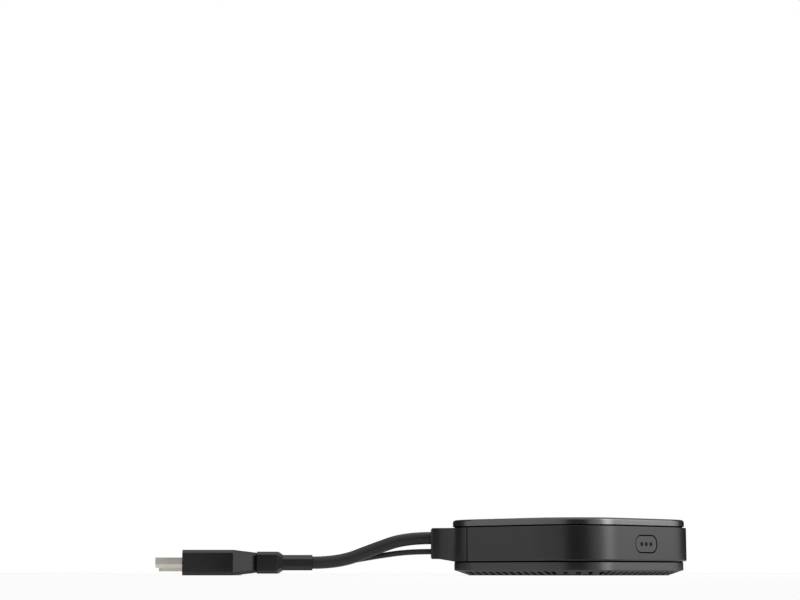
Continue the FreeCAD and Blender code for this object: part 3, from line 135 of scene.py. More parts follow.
@dataclass(frozen=True)
class Finish:
    """A solid material with small relief, faint blotches, softened edges, and painted shade in its corners
    and seams.

    Attributes:
        name: The material and how it was made.
        colour: Its sRGB colour.
        roughness: Its mean roughness.
        grain_mm: Spacing of the small relief.
        relief_mm: Height of that relief.
        blotch_mm: Size of the faint patches in colour and gloss.
        blotch: How far those patches go, as a share.
        edge_mm: Radius that the moulding or rolling leaves on its edges.
        crevice_mm: Reach of the seams and corners that get painted shade and lose their gloss.
        painted_shade_colour: The sRGB colour of that painted shade.
        own_creases: Whether only the piece's own corners count, and not what lies against it.
        face_out: Which way its face looks, where the flanks round it get painted shade.
        level_dull_and_shade: How far faces that look up or down get rougher and lose their reflection
            (painted shade in the gloss), as a share.
        lip_mm: Height of the middle of a recessed lip that gets painted shade, or nothing.
        lip_half_mm: Half the height of that lip.
        grain: The way that the relief runs.
        ior: Refractive index, for what isn't metal.
        specular: Strength of the reflection, where 0.5 is what the refractive index gives.
        metal: True for a bare metal.
        coat: Weight of a clear top layer.
        coat_roughness: Roughness of that layer.
    """

    name: str
    colour: str
    roughness: float
    grain_mm: float = 0.6
    relief_mm: float = 0.01
    blotch_mm: float = 9.0
    blotch: float = 0.12
    edge_mm: float = 0.15
    crevice_mm: float = 1.2
    painted_shade_colour: str = "#060606"
    own_creases: bool = False
    face_out: tuple[float, float, float] | None = None
    level_dull_and_shade: float = 0.0
    lip_mm: float | None = None
    lip_half_mm: float = 0.31
    grain: Grain = Grain.EVEN
    ior: float = 1.5
    specular: float = 0.5
    metal: bool = False
    coat: float = 0.0
    coat_roughness: float = 0.05

    def material(self) -> bpy.types.Material:
        """Makes the material, or finds it if it is made already.

        Returns:
            The material.
        """
        known = bpy.data.materials.get(self.name)
        if known:
            return known
        made = bpy.data.materials.new(self.name)
        made.use_nodes = True
        tree = made.node_tree
        shader = tree.nodes["Principled BSDF"]
        shader.inputs["Metallic"].default_value = 1.0 if self.metal else 0.0
        if not self.metal:
            shader.inputs["IOR"].default_value = self.ior
            shader.inputs["Specular IOR Level"].default_value = self.specular
        shader.inputs["Coat Weight"].default_value = self.coat
        shader.inputs["Coat Roughness"].default_value = self.coat_roughness
        place = add_node(tree, "TexCoord").outputs["Object"]
        self.colour_and_gloss(tree, shader, place)
        self.surface_relief(tree, shader, place)
        return made

    def colour_and_gloss(self, tree: bpy.types.NodeTree, shader: bpy.types.Node,
                         place: bpy.types.NodeSocket) -> None:
        """Varies colour and gloss in faint patches, and paints shade into corners and seams with a darker
        colour and less gloss.

        Args:
            tree: The material's nodes.
            shader: Its shader.
            place: Where on the object a point lies.
        """
        patches = add_node(tree, "TexNoise", {
            "Vector": place, "Scale": 1 / (self.blotch_mm * MM), "Detail": PATCH_DETAIL}).outputs["Fac"]
        mean = linear(self.colour)[:3]
        deep, pale = ((*(min(1.0, part * share) for part in mean), 1.0)
                      for share in (1 - self.blotch, 1 + self.blotch))
        tint = add_node(tree, "Mix", {0: patches, 6: deep, 7: pale}, data_type="RGBA")
        gloss = add_node(tree, "MapRange", {
            "Value": patches, "To Min": self.roughness * (1 - self.blotch),
            "To Max": min(1.0, self.roughness * (1 + self.blotch))})
        shade_mask = self.painted_shade_share(tree, place)
        dull = self.dull_and_shade_share(tree, shade_mask)
        pairs = [("Roughness", gloss.outputs[0], 1.0)]
        if not self.metal:
            pairs.append(("Specular IOR Level", self.specular, 0.0))
        if self.coat:
            pairs.append(("Coat Weight", self.coat, 0.0))
        # Painted shade in the gloss: roughness up, reflection and coat down, where the mask says.
        for name, polished, shaded_value in pairs:
            mixed = add_node(tree, "Mix", {0: dull, 2: polished, 3: shaded_value}).outputs[0]
            tree.links.new(mixed, shader.inputs[name])
        # Painted shade in the colour: darker towards the shade colour in corners, lips and flanks.
        shaded_tint = add_node(tree, "Mix", {0: shade_mask, 6: tint.outputs[2], 7: linear(self.painted_shade_colour)},
                          data_type="RGBA")
        tree.links.new(shaded_tint.outputs[2], shader.inputs["Base Color"])

    def painted_shade_share(self, tree: bpy.types.NodeTree, place: bpy.types.NodeSocket) -> bpy.types.NodeSocket:
        """Finds where shade is painted: in corners, on a seam's lip and on the flanks round a face.

        Args:
            tree: The material's nodes.
            place: Where on the object a point lies.

        Returns:
            1 where the painted shade is full, and 0 where it is open.
        """
        sky = add_node(tree, "AmbientOcclusion", {"Distance": self.crevice_mm * MM}, samples=CREVICE_RAYS,
                       only_local=self.own_creases).outputs["AO"]
        shares = [add_node(tree, "MapRange", {
            "Value": sky, "From Min": CREVICE_SHARES[0], "From Max": CREVICE_SHARES[1], "To Min": 1.0,
            "To Max": 0.0}).outputs[0]]
        # Painted shade on a level band at the lip's height.
        if self.lip_mm:
            height = add_node(tree, "SeparateXYZ", {0: place}).outputs["Z"]
            shares.append(add_node(tree, "Math", {
                0: height, 1: self.lip_mm * MM, 2: self.lip_half_mm * MM}, operation="COMPARE").outputs[0])
        # Painted shade on the flanks that turn away from the face.
        if self.face_out:
            normal = add_node(tree, "TexCoord").outputs["Normal"]
            turned = add_node(tree, "VectorMath", {0: normal, 1: self.face_out},
                              operation="DOT_PRODUCT").outputs["Value"]
            shares.append(add_node(tree, "MapRange", {
                "Value": turned, "From Min": FLANK_COSINES[0], "From Max": FLANK_COSINES[1], "To Min": 1.0,
                "To Max": 0.0}).outputs[0])
        shade_mask = shares[0]
        for share in shares[1:]:
            shade_mask = add_node(tree, "Math", {0: shade_mask, 1: share}, operation="MAXIMUM").outputs[0]
        return shade_mask

    def dull_and_shade_share(self, tree: bpy.types.NodeTree, shade_mask: bpy.types.NodeSocket) -> bpy.types.NodeSocket:
        """Adds the faces that look up or down to the painted shade, as rougher gloss with less reflection.

        Args:
            tree: The material's nodes.
            shade_mask: The painted shade of corners, lips and flanks.

        Returns:
            How much of the gloss and reflection is gone, as a share.
        """
        if not self.level_dull_and_shade:
            return shade_mask
        # Painted shade in the gloss of faces that look up or down.
        normal = add_node(tree, "TexCoord").outputs["Normal"]
        upright = add_node(tree, "SeparateXYZ", {0: normal}).outputs["Z"]
        level = add_node(tree, "Math", {0: upright}, operation="ABSOLUTE").outputs[0]
        share = add_node(tree, "MapRange", {
            "Value": level, "From Min": LEVEL_PARTS[0], "From Max": LEVEL_PARTS[1], "To Min": 0.0,
            "To Max": self.level_dull_and_shade}).outputs[0]
        return add_node(tree, "Math", {0: shade_mask, 1: share}, operation="MAXIMUM").outputs[0]

    def surface_relief(self, tree: bpy.types.NodeTree, shader: bpy.types.Node,
                       place: bpy.types.NodeSocket) -> None:
        """Raises the grain over edges that are a little rounded.

        Args:
            tree: The material's nodes.
            shader: Its shader.
            place: Where on the object a point lies.
        """
        stretched = add_node(tree, "Mapping", {"Vector": place, "Scale": self.grain.value}).outputs[0]
        grain = add_node(tree, "TexNoise", {
            "Vector": stretched, "Scale": 1 / (self.grain_mm * MM), "Detail": GRAIN_DETAIL}).outputs["Fac"]
        edges = add_node(tree, "Bevel", {"Radius": self.edge_mm * MM}, samples=EDGE_RAYS).outputs[0]
        bump = add_node(tree, "Bump", {
            "Height": grain, "Distance": self.relief_mm * MM, "Strength": 1.0, "Normal": edges})
        tree.links.new(bump.outputs[0], shader.inputs["Normal"])


@dataclass(frozen=True)
class Frosted(Finish):
    """A finish that lets light in: the guide round the button, or a lamp's resin.

    Attributes:
        transmission: Share of the light that goes straight through.
        scatter_mm: How far the rest wanders inside.
    """

    transmission: float = 0.3
    scatter_mm: float = 1.5

    def material(self) -> bpy.types.Material:
        """Adds scattering and transmission to the plain finish.

        Returns:
            The material.
        """
        made = super().material()
        shader = made.node_tree.nodes["Principled BSDF"]
        shader.inputs["Transmission Weight"].default_value = self.transmission
        shader.inputs["Subsurface Weight"].default_value = 1.0 - self.transmission
        shader.inputs["Subsurface Scale"].default_value = self.scatter_mm * MM
        shader.inputs["Subsurface Radius"].default_value = (1.0, 1.0, 1.0)
        return made


@dataclass(frozen=True)
class Laminate(Finish):
    """A circuit board: solder resist over copper tracks, which show as paler and glossier.

    Attributes:
        cell_mm: Size of the pattern's cells, each with a pad in it.
        pad_reach: How far a pad reaches in its cell, from where it fades to where it ends.
        track_colour: The sRGB colour of resist over copper.
        track_gloss: The roughness there, as a share of the board's.
    """

    cell_mm: float = 3.3
    pad_reach: tuple[float, float] = (0.30, 0.34)
    track_colour: str = "#2f6b45"
    track_gloss: float = 0.8

    def colour_and_gloss(self, tree: bpy.types.NodeTree, shader: bpy.types.Node,
                         place: bpy.types.NodeSocket) -> None:
        """Draws tracks as the straight-sided cells of a coarse pattern.

        Args:
            tree: The material's nodes.
            shader: Its shader.
            place: Where on the object a point lies.
        """
        cells = add_node(tree, "TexVoronoi", {"Vector": place, "Scale": 1 / (self.cell_mm * MM)},
                         distance="CHEBYCHEV", feature="F1").outputs["Distance"]
        tracks = add_node(tree, "MapRange", {
            "Value": cells, "From Min": self.pad_reach[0], "From Max": self.pad_reach[1], "To Min": 1.0,
            "To Max": 0.0}).outputs[0]
        tint = add_node(tree, "Mix", {0: tracks, 6: linear(self.colour), 7: linear(self.track_colour)},
                        data_type="RGBA")
        tree.links.new(tint.outputs[2], shader.inputs["Base Color"])
        gloss = add_node(tree, "MapRange", {
            "Value": tracks, "To Min": self.roughness, "To Max": self.roughness * self.track_gloss})
        tree.links.new(gloss.outputs[0], shader.inputs["Roughness"])


# The grain of moulded, drawn and printed surfaces is 0.02 to 0.1 mm, which is too fine to show at
# this distance. Each finish draws its own at the 0.2 to 2 mm that it is given here.

# ABS off a polished tool: deep black with a glossy rim and faint wipe marks. Its flat top has painted shade
# in its gloss, so that it stays grey rather than white against the light, and the lip in the seam under it
# is painted dark.
POLISHED_ABS = Finish("polished_abs", "#191919", 0.28, grain_mm=1.8, relief_mm=0.0012, blotch_mm=26,
                      blotch=0.10, edge_mm=0.2, level_dull_and_shade=0.55, lip_mm=20.75,
                      specular=0.66, coat=1.0, coat_roughness=0.25)
# ABS off a finely sparked tool: black that scatters a lamp to a wide soft band.
SATIN_ABS = Finish("satin_moulded_abs", "#151516", 0.32, grain_mm=0.5, relief_mm=0.004, blotch_mm=18,
                   blotch=0.08, edge_mm=0.12, specular=0.47)
# The same resin off a coarser tool, for the side that faces the table: as black, with a softer gleam. Its
# seam lip and the faces that look down carry painted shade.
SPARKED_ABS = Finish("spark_textured_abs", "#131314", 0.31, grain_mm=0.7, relief_mm=0.006, blotch_mm=14,
                     blotch=0.10, edge_mm=0.05, crevice_mm=2.4, own_creases=True, level_dull_and_shade=0.5,
                     lip_mm=5.75, coat=0.28, coat_roughness=0.29)
# Silicone rubber, moulded: dull, slightly brown black that gathers a little dust.
FOOT_RUBBER = Finish("moulded_silicone_rubber", "#151414", 0.78, grain_mm=0.8, relief_mm=0.03,
                     blotch_mm=6, blotch=0.2, edge_mm=0.2, own_creases=True, ior=1.41)
# Button cap: the satin resin, its top rougher where fingers wear it and with painted shade in its gloss.
BUTTON_ABS = Finish("satin_button_abs", "#121213", 0.34, grain_mm=0.5, relief_mm=0.004, blotch_mm=22,
                    blotch=0.16, edge_mm=0.25, level_dull_and_shade=0.35)
# The key in the side: a shade paler, with a fine line of painted shade where its face turns into the wall.
KEY_ABS = Finish("satin_key_abs", "#1a1a1b", 0.34, grain_mm=0.5, relief_mm=0.004, blotch_mm=7,
                 blotch=0.12, edge_mm=0.1, face_out=tuple(KEY_OUT))
# Extruded PVC: a soft black with lines drawn along it by the die.
CORD_PVC = Finish("extruded_pvc", "#1f1f20", 0.42, grain_mm=0.8, relief_mm=0.012, blotch_mm=8, blotch=0.14,
                  edge_mm=0.05, grain=Grain.ALONG_X, ior=1.53, specular=0.28)
# PVC moulded over the plug: a little harder and glossier than the cord.
PLUG_PVC = Finish("overmoulded_pvc", "#101011", 0.34, grain_mm=0.6, relief_mm=0.006, blotch_mm=10,
                  blotch=0.12, edge_mm=0.2, own_creases=True, ior=1.53, specular=0.36)
# The block that fills the neck: soft and nearly black, with hardly any shine.
GROMMET_PVC = Finish("moulded_grommet_pvc", "#0c0c0c", 0.55, grain_mm=0.7, relief_mm=0.01, edge_mm=0.15,
                     ior=1.53)
# Nickel on drawn steel: bright, warm grey, with fine lines along the drawing direction.
NICKEL = Finish("nickel_plated_steel", "#c9c5bc", 0.22, grain_mm=0.25, relief_mm=0.002, blotch_mm=4,
                blotch=0.10, edge_mm=0.12, grain=Grain.ALONG_X, metal=True)
# Gold flash on phosphor bronze: a pale yellow that stays bright.
GOLD_FLASH = Finish("gold_flashed_bronze", "#e2b765", 0.2, grain_mm=0.2, relief_mm=0.001, blotch_mm=2,
                    blotch=0.08, edge_mm=0.05, grain=Grain.ALONG_X, metal=True)
# Pad-printed ink: a flat black, duller than the key, thin enough to follow it.
PRINT_INK = Finish("pad_printed_ink", "#060606", 0.9, grain_mm=0.3, relief_mm=0.004, blotch_mm=1,
                   blotch=0.10, edge_mm=0.01, specular=0.2)
# Polycarbonate with a diffusing filler: milky, and lit through by what shines behind it.
LIGHT_GUIDE = Frosted("frosted_polycarbonate", "#c9cccf", 0.42, grain_mm=0.6, relief_mm=0.004, blotch_mm=8,
                      blotch=0.04, edge_mm=0.2, ior=1.58, transmission=0.25)
# Epoxy cast over a lamp: clear, pale yellow and glossy.
LAMP_RESIN = Frosted("cast_epoxy_resin", "#e3e1c8", 0.18, grain_mm=0.4, relief_mm=0.002, blotch_mm=1,
                     blotch=0.05, edge_mm=0.1, ior=1.55, transmission=0.5)
# Solder resist on glass epoxy: a glossy deep green. Its copper of 0.2 mm can't show, so it is drawn
# as pads of about 2 mm.
BOARD = Laminate("solder_resist_on_glass_epoxy", "#14472b", 0.32, grain_mm=0.4, relief_mm=0.01,
                 edge_mm=0.1, ior=1.52)

# Matt paper for the floor: nearly white, with a fine even tooth, and painted shade where things stand on
# it.
PAPER = Finish("matt_paper", "#fcfcfb", 0.85, grain_mm=1.5, relief_mm=0.01, blotch_mm=60, blotch=0.01,
               edge_mm=0.01)
# Felt on the cards: almost black and without shine, so that gloss shows it as plain shade.
FELT = Finish("black_felt", "#101010", 0.95, grain_mm=2.0, relief_mm=0.1, blotch_mm=40)

# What each slot of the record is made of. The ones written out here are inside the puck or small.
FINISHES: dict[str, Finish] = {
    "gloss_shell": POLISHED_ABS,
    "satin_shell": SATIN_ABS,
    "matt_shell": SPARKED_ABS,
    "foot_rubber": FOOT_RUBBER,
    "light_guide": LIGHT_GUIDE,
    "button_plastic": BUTTON_ABS,
    "key_plastic": KEY_ABS,
    "cord_rubber": CORD_PVC,
    "plug_plastic": PLUG_PVC,
    "plated_shell": NICKEL,
    "circuit_board": BOARD,
    "lamp_resin": LAMP_RESIN,
    # Dark grey with a faint sheen, as both nylons are.
    "switch_housing": Finish("moulded_black_nylon", "#2b2b2c", 0.5),
    "clamp_plastic": Finish("moulded_grey_nylon", "#303031", 0.5, ior=1.53),
    # Slippery resin, so a little glossier than the housing round it.
    "switch_stem": Finish("moulded_acetal", "#1d1d1e", 0.4),
    # Dull dark grey, with the tooth that the mould gives it for its print.
    "chip_epoxy": Finish("moulded_epoxy", "#2a2a2d", 0.62, grain_mm=0.3, relief_mm=0.01),
    # Pressed powder: mid grey, dull and rough.
    "ferrite": Finish("pressed_ferrite", "#4d4d50", 0.7, grain_mm=0.3, relief_mm=0.02),
    # Soft bright metal with a hazy mirror.
    "aluminium_can": Finish("drawn_aluminium", "#cfd0d2", 0.28, grain=Grain.LEVEL, metal=True),
    # Cloudy pale metal, from the tin that set on it.
    "tinned_steel": Finish("tinned_sheet_steel", "#bdbdb8", 0.35, blotch_mm=5, blotch=0.2, metal=True),
    # Putty-like pad: a flat blue grey.
    "soft_pad": Finish("silicone_gap_pad", "#8f9bb0", 0.8, grain_mm=0.4, relief_mm=0.02, ior=1.41),
    # Metal with die lines all one way, so its light is drawn out across them.
    "spreader_aluminium": Finish("extruded_aluminium", "#c2c4c7", 0.4, grain=Grain.ALONG_X, metal=True),
    # Smooth off-white film.
    "ribbon_film": Finish("polyester_film", "#e4e3dc", 0.35, grain=Grain.LEVEL),
    # Undyed resin: a warm cream.
    "connector_nylon": Finish("natural_nylon", "#ded8c6", 0.45, ior=1.53),
    # Cool bright metal, finely uneven.
    "screw_steel": Finish("zinc_plated_steel", "#b4b6b8", 0.3, grain_mm=0.3, metal=True),
    # Soft grey sleeve with lines along it.
    "wire_jacket": Finish("extruded_polyethylene", "#8a8a8c", 0.4, grain=Grain.ALONG_X),
    # Near black and even.
    "insert_plastic": Finish("moulded_liquid_crystal_polymer", "#1b1b1b", 0.5, grain_mm=0.3),
    # Clean white with a soft sheen.
    "tongue_plastic": Finish("moulded_white_polyester", "#e6e5df", 0.42, grain_mm=0.3),
}

# Nodes whose slot is shared with a piece of another look.
NODE_FINISHES: dict[str, Finish] = {"cord_grommet": GROMMET_PVC}


def new_mesh_piece(name: str, shape: bmesh.types.BMesh, finish: Finish) -> bpy.types.Object:
    """Makes an object of a shape that is in place in the row frame.

    Args:
        name: The piece's name.
        shape: Its mesh, which is freed.
        finish: What it is made of.

    Returns:
        The new object.
    """
    mesh = bpy.data.meshes.new(name)
    bmesh.ops.recalc_face_normals(shape, faces=shape.faces[:])
    for face in shape.faces:
        face.smooth = True
    for edge in shape.edges:
        edge.smooth = edge.is_manifold and edge.calc_face_angle(0.0) < SMOOTH_ANGLE
    shape.to_mesh(mesh)
    shape.free()
    mesh.materials.append(finish.material())
    piece = bpy.data.objects.new(name, mesh)
    bpy.context.scene.collection.objects.link(piece)
    return piece


def skin(shape: bmesh.types.BMesh, loops: list[list[Vector]]) -> None:
    """Joins closed loops of equal length into a tube with a face at either end.

    Args:
        shape: The mesh that the tube goes into.
        loops: Each loop's points, in one order.
    """
    rows = [[shape.verts.new(point) for point in loop] for loop in loops]
    count = len(rows[0])
    for low, high in zip(rows, rows[1:]):
        for i in range(count):
            after = (i + 1) % count
            shape.faces.new((low[i], low[after], high[after], high[i]))
    shape.faces.new(rows[0][::-1])
    shape.faces.new(rows[-1])


def strip(shape: bmesh.types.BMesh, low: Vector, high: Vector, edge: float) -> None:
    """Adds a flat bar along X whose upper edges and front end are drawn in.

    Args:
        shape: The mesh that it goes into.
        low: Its lowest corner.
        high: Its highest corner.
        edge: How far the drawn edges come in.
    """
    def ring(x: float, inset: float) -> list[Vector]:
        """Gives the bar's outline at one place along it.

        Args:
            x: The place.
            inset: How far the outline is drawn in there.

        Returns:
            Its six points.
        """
        y0, y1, z0, z1 = low.y + inset, high.y - inset, low.z, high.z - inset
        return [Vector(p) for p in ((x, y0, z0), (x, y1, z0), (x, y1, z1 - edge), (x, y1 - edge, z1),
                                    (x, y0 + edge, z1), (x, y0, z1 - edge))]

    skin(shape, [ring(low.x, edge), ring(low.x + edge * 2, 0.0), ring(high.x, 0.0)])


@dataclass
class Dresser:
    """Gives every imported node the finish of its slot.

    Attributes:
        finishes: The finish of each slot.
        node_finishes: The finish of each node that differs from its slot.
    """

    finishes: dict[str, Finish]
    node_finishes: dict[str, Finish]

    def dress(self) -> int:
        """Sets the materials of all nodes.

        Returns:
            How many nodes were dressed.
        """
        for row in frame["record"]["subparts"]:
            node = frame["nodes"][row["node"]]
            finish = self.node_finishes.get(row["node"], self.finishes[row["material_slot"]])
            node.data.materials.clear()
            node.data.materials.append(finish.material())
        return len(frame["nodes"])


@dataclass
class Cord:
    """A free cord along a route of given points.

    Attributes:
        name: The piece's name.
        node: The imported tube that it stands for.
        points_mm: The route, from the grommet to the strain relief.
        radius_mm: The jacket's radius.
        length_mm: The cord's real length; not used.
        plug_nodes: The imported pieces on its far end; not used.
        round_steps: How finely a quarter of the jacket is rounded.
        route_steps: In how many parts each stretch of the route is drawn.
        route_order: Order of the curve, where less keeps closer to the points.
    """

    name: str
    node: str
    points_mm: tuple[tuple[float, float, float], ...]
    radius_mm: float
    length_mm: float
    plug_nodes: tuple[str, ...]
    round_steps: int = 8
    route_steps: int = 24
    route_order: int = 3

    def build(self) -> bpy.types.Object:
        """Returns:
            The jacket.
        """
        curve = bpy.data.curves.new(self.name, "CURVE")
        curve.dimensions = "3D"
        curve.bevel_depth = self.radius_mm * MM
        curve.bevel_resolution = self.round_steps
        curve.resolution_u = self.route_steps
        curve.use_fill_caps = True
        spline = curve.splines.new("NURBS")
        spline.points.add(len(self.points_mm) - 1)
        for point, place in zip(spline.points, self.points_mm):
            point.co = (*(value * MM for value in place), 1.0)
        spline.order_u = self.route_order
        spline.use_endpoint_u = True
        curve.materials.append(CORD_PVC.material())
        piece = bpy.data.objects.new(self.name, curve)
        bpy.context.scene.collection.objects.link(piece)
        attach(piece, Body.ROOT.value)
        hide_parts(self.node)
        return piece


VIDEO_CORD = Cord(
    name="video_cord_jacket", node="video_cord", radius_mm=2.7, length_mm=54.2,
    points_mm=((-59.67, 0.0, 16.2), (-71.47, 0.0, 16.2), (-85.47, 0.5, 11.3), (-100.47, 0.0, 5.5),
               (-112.17, 0.0, 5.5)),
    plug_nodes=("video_strain_relief", "video_plug_body", "video_plug_shell", "video_contact_block"))
POWER_CORD = Cord(
    name="power_cord_jacket", node="power_cord", radius_mm=1.2, length_mm=80.3,
    points_mm=((-59.67, 0.0, 10.3), (-69.47, 0.0, 10.3), (-82.47, 3.6, 8.6), (-96.47, 9.8, 6.2),
               (-109.47, 16.2, 4.4), (-121.47, 20.4, 3.7), (-128.47, 22.0, 4.0), (-135.47, 22.0, 4.0)),
    plug_nodes=("power_strain_relief", "power_plug_body", "power_plug_shell", "power_tongue"))


@dataclass
class ModeKey:
    """The key in the side wall, with three printed dots on its face.

    Attributes:
        dots: How many dots there are.
        dot_radius_mm: Their radius.
        dot_pitch_mm: From one dot's middle to the next.
        ink_mm: How thick the ink lies.
        ink_edge: Height and radius of each loop of a dot's edge, as shares of the full ones.
        sides: How many sides a dot has.
    """

    dots: int = 3
    dot_radius_mm: float = 0.9
    dot_pitch_mm: float = 3.1
    ink_mm: float = 0.03
    ink_edge: tuple[tuple[float, float], ...] = ((0.0, 1.0), (0.6, 1.0), (1.0, 0.8))
    sides: int = 28

    def build(self) -> bpy.types.Object:
        """Prints the dots on the key's face and lets them ride with it.

        Returns:
            The dots, as one piece.
        """
        along = UP.cross(KEY_OUT)
        middle = self.face_middle(along)
        turns = [2 * math.pi * i / self.sides for i in range(self.sides)]
        shape = bmesh.new()
        for number in range(self.dots):
            centre = middle + along * (self.dot_pitch_mm * MM * (number - (self.dots - 1) / 2))
            loops = []
            for height, share in self.ink_edge:
                base = centre + KEY_OUT * (self.ink_mm * MM * height)
                radius = self.dot_radius_mm * MM * share
                loops.append([base + (along * math.cos(turn) + UP * math.sin(turn)) * radius
                              for turn in turns])
            skin(shape, loops)
        piece = new_mesh_piece("mode_key_dots", shape, PRINT_INK)
        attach(piece, Body.MODE_BUTTON.value)
        return piece

    def face_middle(self, along: Vector) -> Vector:
        """Finds the middle of the key's outer face.

        Args:
            along: The level direction in that face.

        Returns:
            The middle, in the row frame.
        """
        points = [vertex.co for vertex in frame["nodes"]["mode_button"].data.vertices]
        middle = KEY_OUT * max(point.dot(KEY_OUT) for point in points)
        for axis in (along, UP):
            places = [point.dot(axis) for point in points]
            middle += axis * ((min(places) + max(places)) / 2)
        return middle


@dataclass
class PlugContacts:
    """Contact strips inside the two plugs.

    Attributes:
        thickness_mm: How thick a strip is.
        drawn_edge_mm: How far its edges are drawn in.
        power_places_mm: Where the strips of the small plug lie, from its middle.
        power_width_mm: Their width.
        power_setback_mm: From the tongue's far end to them.
        power_length_mm: Their length.
        video_count: How many strips the video plug has.
        video_pitch_mm: From one of them to the next.
        video_width_mm: Their width.
        video_setback_mm: From the insert's far end to them.
        video_length_mm: Their length.
        video_rail_mm: How thick the rail is that they hang under.
    """

    thickness_mm: float = 0.12
    drawn_edge_mm: float = 0.04
    power_places_mm: tuple[float, ...] = (-3.5, -1.0, 1.0, 3.5)
    power_width_mm: float = 1.0
    power_setback_mm: float = 0.9
    power_length_mm: float = 7.4
    video_count: int = 10
    video_pitch_mm: float = 1.0
    video_width_mm: float = 0.45
    video_setback_mm: float = 0.6
    video_length_mm: float = 6.0
    video_rail_mm: float = 0.9

    def build(self) -> list[bpy.types.Object]:
        """Makes the strips of both plugs, and returns the two pieces."""
        return [self.power_contacts(), self.video_contacts()]

    def power_contacts(self) -> bpy.types.Object:
        """Lays four strips on the tongue.

        Returns:
            The strips, as one piece.
        """
        low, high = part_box("power_tongue")
        middle = (low.y + high.y) / 2
        start = low.x + self.power_setback_mm * MM
        shape = bmesh.new()
        for place in self.power_places_mm:
            y = middle + place * MM
            half = self.power_width_mm * MM / 2
            strip(shape, Vector((start, y - half, high.z)),
                  Vector((start + self.power_length_mm * MM, y + half, high.z + self.thickness_mm * MM)),
                  self.drawn_edge_mm * MM)
        piece = new_mesh_piece("power_contacts", shape, GOLD_FLASH)
        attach(piece, Body.ROOT.value)
        return piece

    def video_contacts(self) -> bpy.types.Object:
        """Hangs a row of strips under the rail in the video plug's mouth.

        Returns:
            The strips, as one piece.
        """
        low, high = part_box("video_contact_block")
        rail = high.z - self.video_rail_mm * MM
        start = low.x + self.video_setback_mm * MM
        shape = bmesh.new()
        for number in range(self.video_count):
            y = (number - (self.video_count - 1) / 2) * self.video_pitch_mm * MM
            half = self.video_width_mm * MM / 2
            strip(shape, Vector((start, y - half, rail - self.thickness_mm * MM)),
                  Vector((start + self.video_length_mm * MM, y + half, rail)), self.drawn_edge_mm * MM)
        piece = new_mesh_piece("video_contacts", shape, GOLD_FLASH)
        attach(piece, Body.ROOT.value)
        return piece


@dataclass
class Softbox:
    """One lamp of the studio.

    Attributes:
        name: The lamp's name.
        place: Where it stands, in metres.
        size: Its width and height, in metres.
        radiance: How bright its face looks, where 1 is white.
    """

    name: str
    place: tuple[float, float, float]
    size: tuple[float, float]
    radiance: float

    def build(self) -> bpy.types.Object:
        """Makes the lamp, turned to the puck.

        Returns:
            The lamp.
        """
        lamp = bpy.data.lights.new(self.name, "AREA")
        lamp.shape = "RECTANGLE"
        lamp.size, lamp.size_y = self.size
        lamp.energy = self.radiance * math.pi * self.size[0] * self.size[1]
        held = bpy.data.objects.new(self.name, lamp)
        held.location = self.place
        held.rotation_euler = (-Vector(self.place)).to_track_quat("-Z", "Y").to_euler()
        held.visible_camera = False
        bpy.context.scene.collection.objects.link(held)
        return held


@dataclass(frozen=True)
class Card:
    """A dark card that stands in a bend, with a foot on the floor.

    Attributes:
        name: The card's name.
        start: Where it starts, in degrees from -Y towards +X.
        end: Where it ends.
        foot: From the middle of the bend to the foot's near edge, in metres.
        distance: From there to the upright part.
        height: Its height.
        middle: Place of the bend's middle along X.
    """

    name: str
    start: float
    end: float
    foot: float
    distance: float
    height: float
    middle: float = 0.0


